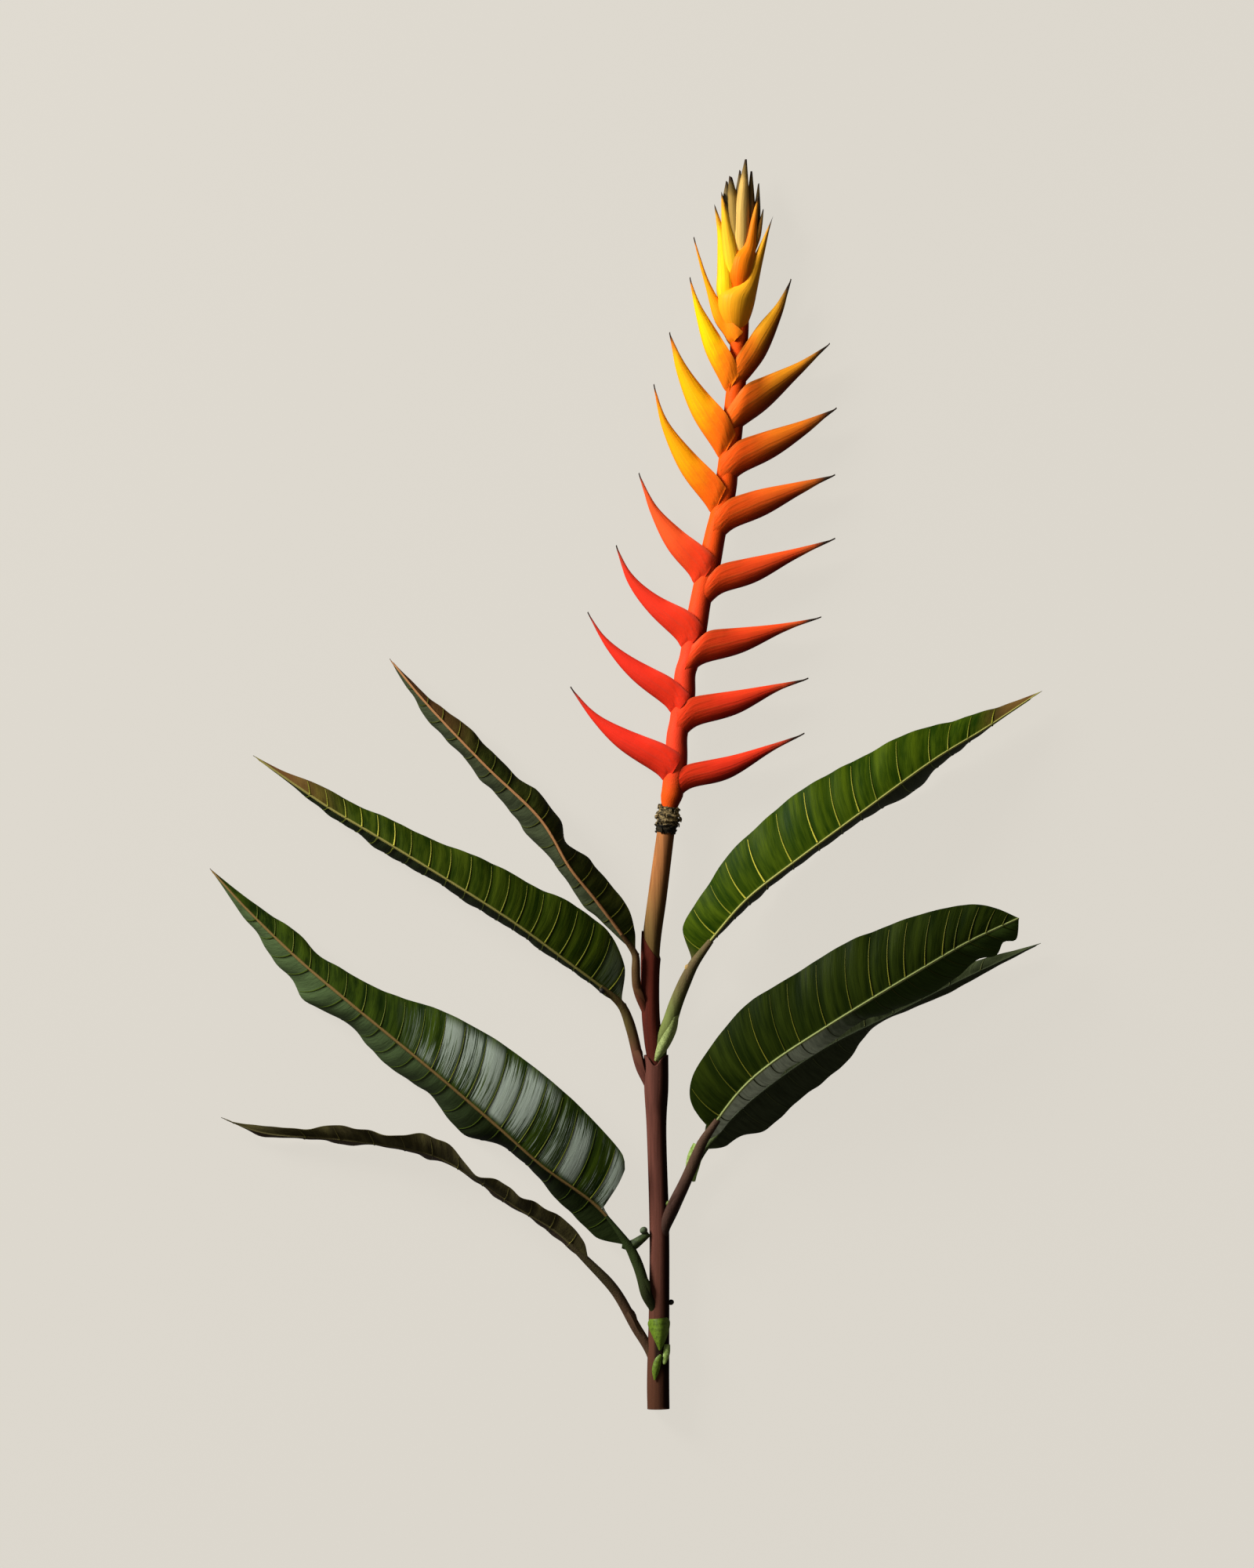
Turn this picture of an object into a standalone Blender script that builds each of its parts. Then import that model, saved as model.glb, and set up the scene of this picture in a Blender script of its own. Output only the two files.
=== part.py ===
"""A cut heliconia flower lying down: a stem, seven leaves and a spike of boat-shaped bracts.

The tables are in millimetres and the scene is in metres. The flower lies on the plane z = 0, with its cut
end at -Y and the tip of its spike at +Y. Outlines are read as (x, y, z) points of the flower as it lies.
"""

import math
import random

import bmesh
import bpy
import numpy as np
from mathutils import Vector

MM = 0.001
GAP = 0.3
END_REACH = 2.0

# Stem and flower stalk: x, y, z of the axis and its radius
STEM_AXIS = (
    (20.0, -398.0, 7.1, 7.1),
    (19.8, -377.0, 7.3, 7.1),
    (20.5, -328.0, 8.0, 6.5),
    (20.5, -281.5, 8.8, 6.3),
    (18.8, -222.0, 9.7, 6.25),
    (18.6, -194.0, 10.1, 7.7),
    (18.5, -172.5, 10.4, 7.8),
)
STALK_AXIS = (
    (18.7, -196.5, 10.1, 5.5),
    (18.5, -176.0, 10.4, 5.5),
    (16.7, -163.0, 10.5, 5.5),
    (14.9, -142.0, 10.6, 5.5),
    (15.2, -105.5, 11.0, 5.8),
    (19.5, -70.5, 11.5, 6.0),
    (24.6, -31.5, 12.2, 5.6),
    (26.6, -16.9, 12.5, 5.6),
)
BORE_RADIUS = 7.0
BORE_DEPTH = 25.0
TUBE_SIDES = 14

# The dry collar: mean radii of its grooves and ridges, length along the stalk, ridges, lobes and crumple
COLLAR_GROOVE = 7.5
COLLAR_RIDGE = 6.75
COLLAR_SWELL = 2.05
COLLAR_LENGTH = 16.5
COLLAR_RIDGES = 5
COLLAR_LOBES = 3
COLLAR_LOBE_HEIGHT = 0.3
COLLAR_CRUMPLE = 0.7
COLLAR_RIM = 2.4
COLLAR_SEED = 11
CUP_RADIUS = 5.6
CUP_DEPTH = 6.0

# Axis of the spike: x, y, z and radius
RACHIS_AXIS = (
    (26.7, -16.2, 12.5, 4.6),
    (28.2, -8.0, 12.5, 6.9),
    (29.0, -5.0, 12.6, 7.0),
    (31.2, 14.0, 12.6, 7.2),
    (31.8, 30.0, 12.6, 6.7),
    (33.8, 40.0, 12.6, 6.7),
    (36.2, 56.0, 12.6, 7.2),
    (37.0, 70.0, 12.6, 6.7),
    (40.0, 80.0, 12.6, 6.7),
    (43.4, 97.0, 12.6, 7.2),
    (47.2, 118.0, 12.6, 6.7),
    (52.0, 138.0, 12.6, 7.2),
    (56.5, 160.0, 12.6, 6.6),
    (59.6, 171.0, 12.6, 6.8),
    (63.0, 190.0, 12.6, 7.0),
    (64.6, 206.0, 12.6, 6.4),
    (67.0, 225.0, 12.6, 6.6),
    (68.8, 246.0, 12.6, 6.2),
    (70.4, 262.0, 12.6, 5.8),
    (71.0, 280.0, 12.6, 5.2),
)

# Bracts of the spike as x, y points in its plane: the upper edge from mouth to tip, the keel from foot to
# tip, and the end of the edge that clasps the axis
SPIKE_HEIGHT = 12.6
LEFT_BRACTS = (
    (((24.5, 25.5), (0.0, 34.5), (-20.0, 45.0), (-36.0, 61.5)),
     ((22.5, 4.5), (-5.0, 22.5), (-23.0, 42.0), (-36.0, 61.5)), (36.0, 17.5)),
    (((29.0, 67.5), (4.0, 80.0), (-13.5, 93.0), (-25.0, 109.0)),
     ((28.0, 47.5), (4.0, 66.0), (-12.5, 86.0), (-25.0, 109.0)), (40.5, 56.0)),
    (((40.0, 110.0), (19.0, 120.0), (3.0, 133.5), (-7.0, 151.5)),
     ((35.0, 89.0), (14.0, 109.0), (0.5, 128.5), (-7.0, 151.5)), (50.0, 99.0)),
    (((48.0, 151.5), (33.0, 162.5), (18.0, 177.5), (7.5, 197.5)),
     ((43.5, 129.5), (26.5, 149.0), (15.5, 172.0), (7.5, 197.5)), (57.5, 143.0)),
    (((57.5, 196.0), (40.0, 213.0), (25.0, 232.0), (17.0, 254.0)),
     ((52.5, 175.0), (34.5, 198.5), (22.5, 227.0), (17.0, 254.0)), (63.0, 188.0)),
    (((63.0, 236.0), (48.0, 252.0), (36.0, 268.5), (27.0, 287.0)),
     ((57.5, 210.0), (42.0, 234.0), (32.0, 261.5), (27.0, 287.0)), (69.5, 222.0)),
    (((66.5, 273.5), (55.0, 291.0), (46.0, 306.0), (40.0, 322.0)),
     ((61.5, 252.5), (50.0, 275.5), (43.5, 302.0), (40.0, 322.0)), (72.0, 261.0)),
    (((69.0, 293.0), (61.0, 303.5), (51.0, 322.0), (42.5, 347.5)),
     ((65.0, 282.5), (56.0, 294.5), (50.5, 316.0), (42.5, 347.5)), (73.0, 287.0)),
)
RIGHT_BRACTS = (
    (((37.0, 12.5), (65.0, 17.5), (90.0, 24.5), (113.0, 32.0)),
     ((39.0, -2.5), (65.0, 3.5), (92.0, 20.5), (113.0, 32.0)), (33.5, 6.5)),
    (((40.5, 55.5), (68.0, 59.0), (93.0, 63.0), (115.5, 67.0)),
     ((43.0, 37.0), (70.0, 44.5), (95.0, 58.5), (115.5, 67.0)), (37.5, 49.5)),
    (((51.5, 98.0), (76.0, 99.5), (100.0, 102.0), (123.5, 106.0)),
     ((46.5, 76.5), (73.0, 83.5), (100.0, 97.0), (123.5, 106.0)), (46.5, 91.0)),
    (((59.0, 140.0), (80.0, 144.0), (107.0, 149.5), (132.5, 156.0)),
     ((59.0, 121.5), (82.0, 128.5), (107.0, 143.0), (132.5, 156.0)), (55.5, 133.5)),
    (((64.5, 181.5), (84.0, 187.0), (107.0, 191.5), (132.5, 196.5)),
     ((66.5, 162.5), (88.0, 171.0), (110.0, 184.0), (132.5, 196.5)), (61.0, 175.0)),
    (((70.5, 218.5), (90.0, 224.5), (112.0, 231.0), (133.5, 239.0)),
     ((72.2, 197.5), (93.0, 207.5), (112.0, 221.0), (133.5, 239.0)), (64.5, 209.5)),
    (((75.5, 254.5), (92.5, 261.0), (111.0, 269.0), (129.0, 280.0)),
     ((71.0, 226.0), (89.0, 239.0), (108.0, 258.5), (129.0, 280.0)), (67.5, 239.0)),
    (((72.5, 276.0), (84.0, 292.0), (95.5, 305.5), (104.5, 321.0)),
     ((77.0, 257.5), (88.5, 273.5), (98.5, 299.0), (104.5, 321.0)), (71.5, 268.5)),
)
KEEL_CLASP = (0.0, -7.0)
BRACT_WALL = 0.9
BRACT_CLEARANCE = 1.0
FOOT_CLEARANCE = 0.75
FOOT_SEAT = 3.0
BRACT_FULLNESS = 0.43
BRACT_CURL = math.radians(150)
BRACT_FOOT_CURL = math.radians(100)
BRACT_CURL_RUN = 0.3
BRACT_TIP = 1.6
BRACT_ROWS = (-1.0, -0.65, -0.3, 0.06, 0.2, 0.38, 0.58, 0.79, 1.0)
BRACT_COLUMNS = 9

# The closed bud: its core, then the outer edge, inner edge and z shift of each small bract, tip last
BUD_CORE = ((71.3, 280.6, 12.6, 6.0), (71.0, 289.0, 12.6, 7.0), (69.5, 301.0, 12.6, 7.6),
            (68.0, 314.0, 12.6, 9.4))
BUD_ROOT = ((71.3, 280.6, 12.6, 5.0), (71.5, 290.0, 12.6, 6.0), (72.0, 325.0, 12.6, 6.0))
BUD_BRACTS = (
    (((74.0, 284.0), (81.0, 306.0), (84.0, 322.0), (93.0, 361.5)),
     ((69.5, 286.0), (62.0, 306.0), (73.0, 319.0), (91.5, 358.0)), 0.8),
    (((69.0, 290.0), (59.5, 309.0), (57.5, 335.0), (55.5, 369.0)),
     ((71.5, 291.0), (72.0, 310.0), (68.0, 332.0), (58.0, 362.0)), 0.0),
    (((71.5, 311.0), (80.5, 325.0), (82.5, 345.0), (84.0, 375.0)),
     ((69.0, 314.0), (63.5, 328.0), (72.5, 343.0), (82.0, 370.0)), 2.6),
    (((68.0, 318.0), (61.5, 335.0), (60.5, 352.0), (60.0, 377.0)),
     ((71.5, 318.0), (74.0, 332.0), (68.5, 350.0), (62.0, 372.0)), 2.0),
    (((68.0, 325.0), (66.0, 343.0), (65.0, 362.0), (66.5, 387.0)),
     ((73.0, 325.0), (75.5, 343.0), (74.5, 362.0), (69.0, 386.0)), -2.2),
    (((70.0, 328.0), (66.0, 346.0), (67.0, 366.0), (75.0, 397.5)),
     ((75.0, 328.0), (78.5, 346.0), (79.0, 366.0), (76.3, 397.5)), 0.6),
    (((76.0, 328.0), (80.5, 346.0), (81.0, 366.0), (79.5, 390.0)),
     ((72.0, 328.0), (72.5, 346.0), (75.0, 366.0), (78.3, 390.0)), -3.0),
)
BUD_ROWS = (0.0, 0.14, 0.34, 0.56, 0.78, 1.0)
BUD_SIDES = 8
BUD_TIP = 0.5
BUD_FULLNESS = 0.85

# Leaves. A foot clasps its support from y to y at an angle round it, then come the points of the stalk,
# the rib and the two edges of the blade
LEAVES = {
    "leaf_left_1": dict(
        side=-1, support="stalk", foot=(-164.0, -141.0), angle=150.0,
        stalk=((6.3, -129.5, 16.2), (5.6, -118.5, 17.8)),
        rib=((6.0, -108.5, 18.5), (-8.5, -89.0, 26.0), (-21.5, -72.0, 31.0), (-37.0, -52.5, 34.0),
             (-55.5, -22.0, 34.0), (-90.5, 12.0, 27.0), (-127.5, 51.0, 17.0), (-151.0, 79.5, 9.0)),
        upper=((6.0, -108.5, 18.5), (6.0, -98.5, 19.0), (1.0, -79.5, 18.0), (-8.5, -67.0, 17.0),
               (-22.5, -48.5, 17.0), (-38.5, -38.0, 18.0), (-43.0, -22.0, 17.0), (-55.5, -5.0, 16.0),
               (-68.5, 2.5, 15.0), (-94.5, 30.0, 14.0), (-128.5, 57.5, 11.0), (-151.0, 79.5, 9.0)),
        lower=((6.0, -108.5, 18.5), (-8.5, -95.0, 21.0), (-24.0, -80.5, 16.0), (-42.5, -56.5, 9.0),
               (-55.5, -40.5, 5.0), (-77.5, -14.5, 3.0), (-101.0, 13.0, 4.0), (-121.0, 34.0, 6.0),
               (-141.5, 63.0, 7.5), (-151.0, 79.5, 9.0)),
        stalk_radius=2.8, clasp=1.0, rib_depth=2.4,
    ),
    "leaf_left_2": dict(
        side=-1, support="stem", foot=(-217.0, -190.0), angle=176.0,
        stalk=((6.6, -172.5, 11.0), (3.8, -160.0, 11.6), (0.8, -150.0, 12.6)),
        rib=((-2.5, -141.0, 14.5), (-14.0, -131.0, 19.0), (-38.0, -113.0, 27.0), (-72.0, -88.0, 33.0),
             (-114.0, -61.0, 33.0), (-160.5, -32.5, 26.0), (-193.0, -13.0, 18.0), (-238.0, 18.0, 9.0)),
        upper=((-2.5, -141.0, 14.5), (-0.5, -125.0, 12.5), (-3.5, -109.5, 12.0), (-12.5, -93.0, 12.5),
               (-34.5, -76.5, 16.0), (-55.5, -66.5, 20.0), (-78.0, -54.0, 23.0), (-103.5, -43.0, 24.0),
               (-129.5, -32.5, 23.0), (-148.5, -23.5, 21.5), (-174.0, -12.0, 18.0),
               (-195.0, -1.0, 15.0), (-219.0, 8.5, 11.0), (-238.0, 18.0, 9.0)),
        lower=((-2.5, -141.0, 14.5), (-14.5, -134.5, 11.0), (-43.0, -113.0, 4.0), (-77.0, -90.5, 1.5),
               (-112.0, -68.5, 1.0), (-140.0, -52.0, 1.5), (-167.5, -35.5, 4.0), (-204.0, -8.5, 8.0),
               (-238.0, 18.0, 9.0)),
        stalk_radius=3.3, clasp=1.15, rib_depth=2.8,
    ),
    "leaf_left_3": dict(
        side=-1, support="stem", foot=(-350.0, -338.0), angle=140.0,
        stalk=((11.9, -330.0, 14.4), (10.8, -319.0, 14.6), (7.0, -306.0, 14.2)),
        rib=((1.5, -294.0, 14.5), (-19.0, -268.5, 20.0), (-54.0, -242.5, 30.0), (-86.5, -213.5, 36.0),
             (-128.0, -178.0, 39.0), (-174.5, -140.0, 34.0), (-208.5, -111.5, 26.0),
             (-241.0, -80.5, 17.0), (-265.5, -54.0, 10.0)),
        upper=((1.5, -294.0, 14.5), (-15.0, -268.5, 19.5), (-11.0, -262.0, 20.0), (-3.0, -251.0, 21.0),
               (-1.5, -242.5, 22.0), (-5.0, -232.0, 24.0), (-28.5, -206.0, 28.0), (-44.5, -191.5, 29.0),
               (-63.5, -176.0, 30.0), (-88.0, -159.0, 30.0), (-120.0, -143.0, 29.0),
               (-157.5, -130.0, 26.0), (-193.0, -110.5, 22.0), (-208.5, -95.0, 18.0),
               (-234.0, -78.5, 14.0), (-265.5, -54.0, 10.0)),
        lower=((1.5, -294.0, 14.5), (-4.5, -297.0, 12.0), (-16.5, -292.0, 8.0), (-46.5, -262.0, 2.0),
               (-66.0, -242.5, 0.8), (-80.5, -229.5, 0.8), (-103.5, -223.0, 0.8), (-128.0, -197.5, 1.5),
               (-156.0, -176.0, 2.5), (-175.0, -156.0, 3.5), (-203.5, -139.0, 4.0),
               (-213.5, -124.0, 4.5), (-225.0, -112.5, 5.0), (-239.0, -92.0, 6.5),
               (-265.5, -54.0, 10.0)),
        stalk_radius=3.4, clasp=0.95, rib_depth=3.4,
    ),
    "leaf_left_4": dict(
        side=-1, support="stem", foot=(-393.0, -376.0), angle=183.0,
        stalk=((8.8, -356.0, 7.4), (3.4, -342.0, 9.0), (-8.0, -321.5, 13.0)),
        rib=((-24.0, -304.5, 17.0), (-45.0, -284.5, 20.0), (-70.5, -268.5, 21.0), (-99.5, -248.5, 20.0),
             (-130.0, -234.0, 18.0), (-184.0, -226.0, 14.0), (-229.5, -222.5, 10.0),
             (-258.5, -212.5, 7.0)),
        upper=((-24.0, -304.5, 17.0), (-22.0, -298.0, 22.0), (-42.0, -275.5, 30.0), (-71.5, -258.0, 36.0),
               (-96.0, -247.0, 36.0), (-115.0, -226.5, 34.0), (-146.5, -223.0, 28.0),
               (-177.0, -218.0, 23.0), (-207.5, -219.0, 17.0), (-244.5, -216.5, 10.0),
               (-258.5, -212.5, 7.0)),
        lower=((-24.0, -304.5, 17.0), (-29.0, -302.5, 11.0), (-47.0, -287.0, 4.0), (-71.5, -270.5, 1.2),
               (-100.0, -250.5, 0.8), (-130.0, -236.0, 1.0), (-184.0, -228.0, 2.0),
               (-229.5, -224.5, 3.5), (-258.5, -212.5, 7.0)),
        stalk_radius=2.6, clasp=0.95, rib_depth=2.0,
    ),
    "leaf_right_1": dict(
        side=1, support="stalk", foot=(-192.0, -168.0), angle=6.0,
        stalk=((26.6, -155.0, 12.6), (30.2, -142.0, 14.5), (36.0, -127.5, 17.5)),
        rib=((42.0, -114.5, 21.0), (57.0, -95.0, 28.0), (77.5, -72.0, 36.0), (107.5, -48.5, 41.0),
             (149.5, -17.5, 40.0), (194.5, 15.0, 30.0), (229.0, 36.0, 20.0), (264.0, 59.0, 10.0)),
        upper=((42.0, -114.5, 21.0), (37.0, -111.0, 20.0), (34.5, -100.5, 19.0), (36.0, -89.5, 20.0),
               (42.5, -77.5, 22.0), (54.5, -59.0, 25.0), (67.0, -42.0, 27.0), (82.0, -28.0, 28.0),
               (99.0, -12.0, 28.0), (115.5, -1.0, 28.0), (143.5, 14.5, 26.0), (178.5, 32.0, 22.0),
               (207.5, 40.5, 18.0), (232.0, 47.5, 14.0), (264.0, 59.0, 10.0)),
        lower=((42.0, -114.5, 21.0), (56.0, -99.0, 15.0), (76.0, -78.0, 6.0), (99.0, -58.5, 3.0),
               (122.0, -40.5, 1.5), (145.0, -25.5, 1.0), (164.5, -13.5, 1.0), (181.5, -5.5, 1.5),
               (200.0, 11.0, 4.0), (213.5, 23.5, 6.0), (264.0, 59.0, 10.0)),
        stalk_radius=4.0, clasp=1.4, rib_depth=3.0,
    ),
    "leaf_right_2": dict(
        side=1, support="stem", foot=(-312.0, -290.0), angle=38.0,
        stalk=((28.6, -270.0, 17.0), (35.0, -257.0, 19.5), (41.0, -244.0, 22.0)),
        rib=((48.0, -226.5, 26.0), (70.5, -196.0, 36.0), (92.0, -176.5, 42.0), (125.0, -154.5, 47.0),
             (158.0, -134.0, 48.0), (189.0, -115.5, 45.0), (217.0, -99.5, 40.0), (248.5, -85.0, 34.0)),
        upper=((48.0, -226.5, 26.0), (50.0, -215.5, 29.0), (44.0, -209.0, 29.0), (40.0, -199.5, 30.0),
               (40.5, -189.0, 31.0), (45.5, -178.0, 32.0), (59.5, -157.5, 34.0), (76.5, -139.0, 36.0),
               (94.0, -128.0, 37.0), (134.5, -103.0, 38.0), (158.0, -92.5, 38.0), (181.5, -84.0, 37.0),
               (209.5, -77.0, 36.0), (223.5, -76.5, 35.0), (236.0, -79.5, 34.0),
               (248.5, -85.0, 34.0)),
        lower=((48.0, -226.5, 26.0), (49.5, -234.0, 22.0), (64.0, -216.0, 19.0), (90.5, -190.5, 19.0),
               (119.0, -171.5, 20.0), (142.0, -155.5, 22.0), (165.5, -145.0, 24.0),
               (203.0, -128.0, 28.0), (220.5, -112.0, 30.0), (233.5, -109.0, 31.0),
               (239.0, -100.5, 32.0), (247.0, -98.5, 33.0), (248.5, -85.0, 34.0)),
        stalk_radius=3.7, clasp=0.75, rib_depth=3.2,
    ),
    "leaf_right_3": dict(
        side=1, support="stem", foot=(-312.0, -290.0), angle=-44.0,
        stalk=((30.0, -272.0, 5.2), (37.0, -256.0, 6.6), (42.0, -244.0, 7.8)),
        rib=((48.5, -232.5, 9.0), (80.0, -201.0, 12.0), (125.0, -169.0, 13.5), (170.0, -146.5, 12.5),
             (215.0, -124.0, 9.5), (263.5, -101.5, 6.5)),
        upper=((48.5, -232.5, 9.0), (50.0, -218.0, 7.0), (70.0, -186.0, 5.0), (110.0, -151.0, 4.0),
               (155.0, -130.5, 4.0), (200.0, -118.5, 5.0), (263.5, -101.5, 6.5)),
        lower=((48.5, -232.5, 9.0), (46.5, -244.0, 6.5), (56.5, -237.0, 4.0), (72.0, -225.0, 1.5),
               (87.5, -221.0, 0.8), (101.5, -209.0, 0.8), (123.5, -191.0, 0.8), (144.0, -173.0, 1.5),
               (159.5, -153.0, 6.0), (197.0, -137.0, 6.0), (244.0, -112.0, 6.0),
               (263.5, -101.5, 6.5)),
        stalk_radius=2.9, clasp=0.6, rib_depth=2.2,
    ),
}
BLADE_WALL = 0.7
FOOT_WALL = 0.6
FOOT_GAP = 0.35
STALK_BORE_SHARE = 0.4
STALK_CURL = 2.3
OPEN_CURL = 1.1
OPENING_START = 0.72
FOOT_TAPER = 0.55
FOOT_TAPER_RUN = 0.2
ROLL_START = 0.42
ROLL_LENGTH = 0.3
FACE_TURN_START = 0.35
FACE_TURN_LENGTH = 0.6
BLADE_ROWS = 21
STALK_ROWS = 11
BASE_CROWDING = 1.35
OPENING_ROWS = 3
OPENING_THINNING = 1.6
STALK_FREE = 0.85
LIP_THINNING = 0.6
TIP_HALF_WIDTH = 1.2
LOWEST_FACE = 0.85
VEIN_LEAN = 0.2
VEIN_LEAN_GROWTH = 0.35
VEIN_BOW = 0.06
BLADE_CROWN = 0.12
WAVE_HEIGHT = 1.1
WAVES = 5
WAVE_FADE = 0.125
WAVE_FULL_WIDTH = 15.0
LOWER_WAVE_PHASE = 1.3
RIB_COLUMN = 0.08
LEAF_COLUMNS = (-1.0, -0.7, -0.38, -RIB_COLUMN, 0.0, RIB_COLUMN, 0.38, 0.7, 1.0)
RIB_SHOULDER = 0.6
RIB_TAPER = 0.7
RIB_SHARE = 0.12
NARROW_BLADE = 2.0
FULL_BLADE = 8.0

# Green bud scale on the front of the stem
SCALE_BASE_Y = -343.0
SCALE_TIP_Y = -360.0
SCALE_CLEARANCE = 2.2
SCALE_WALL = 0.8
SCALE_HALF_ANGLE = math.radians(66)
SCALE_TIP_ANGLE = math.radians(7)
SCALE_TAPER = 0.7
SCALE_ROWS = 5
SCALE_COLUMNS = 7

# Colours, roughness and metallic value of each material
COLOURS = {
    "stem_brown": ((0.13, 0.045, 0.035), 0.5),
    "stalk_tan": ((0.34, 0.15, 0.06), 0.5),
    "leaf_green": ((0.035, 0.09, 0.018), 0.42),
    "leaf_dry": ((0.075, 0.05, 0.03), 0.6),
    "bract_red": ((0.75, 0.055, 0.022), 0.4),
    "bract_orange": ((0.85, 0.17, 0.02), 0.4),
    "bract_yellow": ((0.88, 0.42, 0.025), 0.4),
    "bud_green": ((0.2, 0.36, 0.04), 0.45),
}


def clear_scene():
    for item in list(bpy.data.objects):
        bpy.data.objects.remove(item, do_unlink=True)


def material(name):
    found = bpy.data.materials.get(name)
    if found:
        return found
    colour, rough = COLOURS[name]
    made = bpy.data.materials.new(name)
    made.use_nodes = True
    shader = made.node_tree.nodes["Principled BSDF"]
    shader.inputs["Base Color"].default_value = (*colour, 1.0)
    shader.inputs["Roughness"].default_value = rough
    shader.inputs["Metallic"].default_value = 0.0
    made.diffuse_color = (*colour, 1.0)
    return made


def collection(name):
    made = bpy.data.collections.new(name)
    bpy.context.scene.collection.children.link(made)
    return made


def smooth(points, count, ease=None):
    """Points evenly spaced along a smooth curve through the given points."""
    data = np.array(points, dtype=float)
    ends = np.vstack([2 * data[0] - data[1], data, 2 * data[-1] - data[-2]])
    fine = []
    for i in range(1, len(ends) - 2):
        p0, p1, p2, p3 = ends[i - 1:i + 3]
        for t in np.linspace(0, 1, 24, endpoint=False):
            fine.append(0.5 * (2 * p1 + (p2 - p0) * t + (2 * p0 - 5 * p1 + 4 * p2 - p3) * t ** 2
                               + (3 * p1 - p0 - 3 * p2 + p3) * t ** 3))
    fine.append(ends[-2])
    fine = np.array(fine)
    run = np.concatenate([[0], np.cumsum(np.linalg.norm(np.diff(fine[:, :3], axis=0), axis=1))])
    places = np.linspace(0, 1, count) if ease is None else ease
    return np.column_stack([np.interp(places * run[-1], run, fine[:, k]) for k in range(fine.shape[1])])


def support_at(axis, y):
    """Centre and radius of a nearly straight axis at height y."""
    table = smooth(axis, 80)
    return np.array([np.interp(y, table[:, 1], table[:, k]) for k in range(4)])


def unit(v):
    return v / np.maximum(np.linalg.norm(v, axis=-1, keepdims=True), 1e-9)


def new_mesh(name, verts, faces, group):
    mesh = bpy.data.meshes.new(name)
    mesh.from_pydata([tuple(v * MM) for v in verts], [], faces)
    made = bpy.data.objects.new(name, mesh)
    group.objects.link(made)
    return made


def shell(name, rows, wall, group):
    """An open surface through rows of points, given a wall behind its face."""
    count, width = rows.shape[:2]
    faces = []
    for i in range(count - 1):
        for j in range(width - 1):
            a, b = i * width + j, (i + 1) * width + j
            faces += [(a, a + 1, b + 1), (a, b + 1, b)]
    made = new_mesh(name, rows.reshape(-1, 3), faces, group)
    solid = made.modifiers.new("Solidify", "SOLIDIFY")
    solid.thickness = wall * MM
    solid.offset = -1.0
    return made


def square_to(face, sign):
    """Unit vectors square to a grid of points."""
    return sign * unit(np.cross(np.gradient(face, axis=0), np.gradient(face, axis=1)))


def thick_sheet(name, face, under, flip, group):
    """A closed sheet between two grids of points, split into triangles alike on both."""
    count, width = face.shape[:2]
    total = count * width
    faces = []
    for i in range(count - 1):
        for j in range(width - 1):
            a, b = i * width + j, (i + 1) * width + j
            faces += [(a, b, b + 1), (a, b + 1, a + 1)]
            faces += [(total + b + 1, total + b, total + a), (total + a + 1, total + b + 1, total + a)]
    around = list(range(width))
    around += [i * width + width - 1 for i in range(1, count)]
    around += [(count - 1) * width + j for j in range(width - 2, -1, -1)]
    around += [i * width for i in range(count - 2, 0, -1)]
    for here, there in zip(around, around[1:] + around[:1]):
        faces += [(here, there, total + there), (here, total + there, total + here)]
    if flip:
        faces = [tri[::-1] for tri in faces]
    verts = list(face.reshape(-1, 3)) + list(under.reshape(-1, 3))
    return new_mesh(name, verts, faces, group)


def tube(name, axis, count, group, sides=TUBE_SIDES):
    """A round rod of changing radius along an axis, with filled ends, as a welded mesh."""
    path = smooth(axis, count)
    curve = bpy.data.curves.new(name, "CURVE")
    curve.dimensions = "3D"
    curve.bevel_depth = MM
    curve.bevel_resolution = (sides - 4) // 2
    curve.use_fill_caps = True
    spline = curve.splines.new("POLY")
    spline.points.add(count - 1)
    for point, (x, y, z, radius) in zip(spline.points, path):
        point.co = (x * MM, y * MM, z * MM, 1.0)
        point.radius = radius
    rod = bpy.data.objects.new(name + "_curve", curve)
    group.objects.link(rod)
    bpy.context.view_layer.update()
    mesh = bpy.data.meshes.new_from_object(rod.evaluated_get(bpy.context.evaluated_depsgraph_get()))
    made = bpy.data.objects.new(name, mesh)
    made.matrix_world = rod.matrix_world
    group.objects.link(made)
    bpy.data.objects.remove(rod, do_unlink=True)
    work = bmesh.new()
    work.from_mesh(mesh)
    bmesh.ops.remove_doubles(work, verts=work.verts, dist=0.02 * MM)
    bmesh.ops.recalc_face_normals(work, faces=work.faces)
    work.to_mesh(mesh)
    work.free()
    return made


def spindle(name, rings, group):
    """A closed solid through rings of points, with a point at each end."""
    count, sides = rings.shape[:2]
    verts = list(rings.reshape(-1, 3)) + [rings[0].mean(axis=0), rings[-1].mean(axis=0)]
    faces = []
    for i in range(count - 1):
        for j in range(sides):
            a, b = i * sides + j, i * sides + (j + 1) % sides
            faces += [(a, b, b + sides), (a, b + sides, a + sides)]
    first, last = count * sides, count * sides + 1
    for j in range(sides):
        faces.append((first, (j + 1) % sides, j))
        faces.append((last, (count - 1) * sides + j, (count - 1) * sides + (j + 1) % sides))
    made = new_mesh(name, verts, faces, group)
    work = bmesh.new()
    work.from_mesh(made.data)
    bmesh.ops.recalc_face_normals(work, faces=work.faces)
    work.to_mesh(made.data)
    work.free()
    return made


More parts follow.
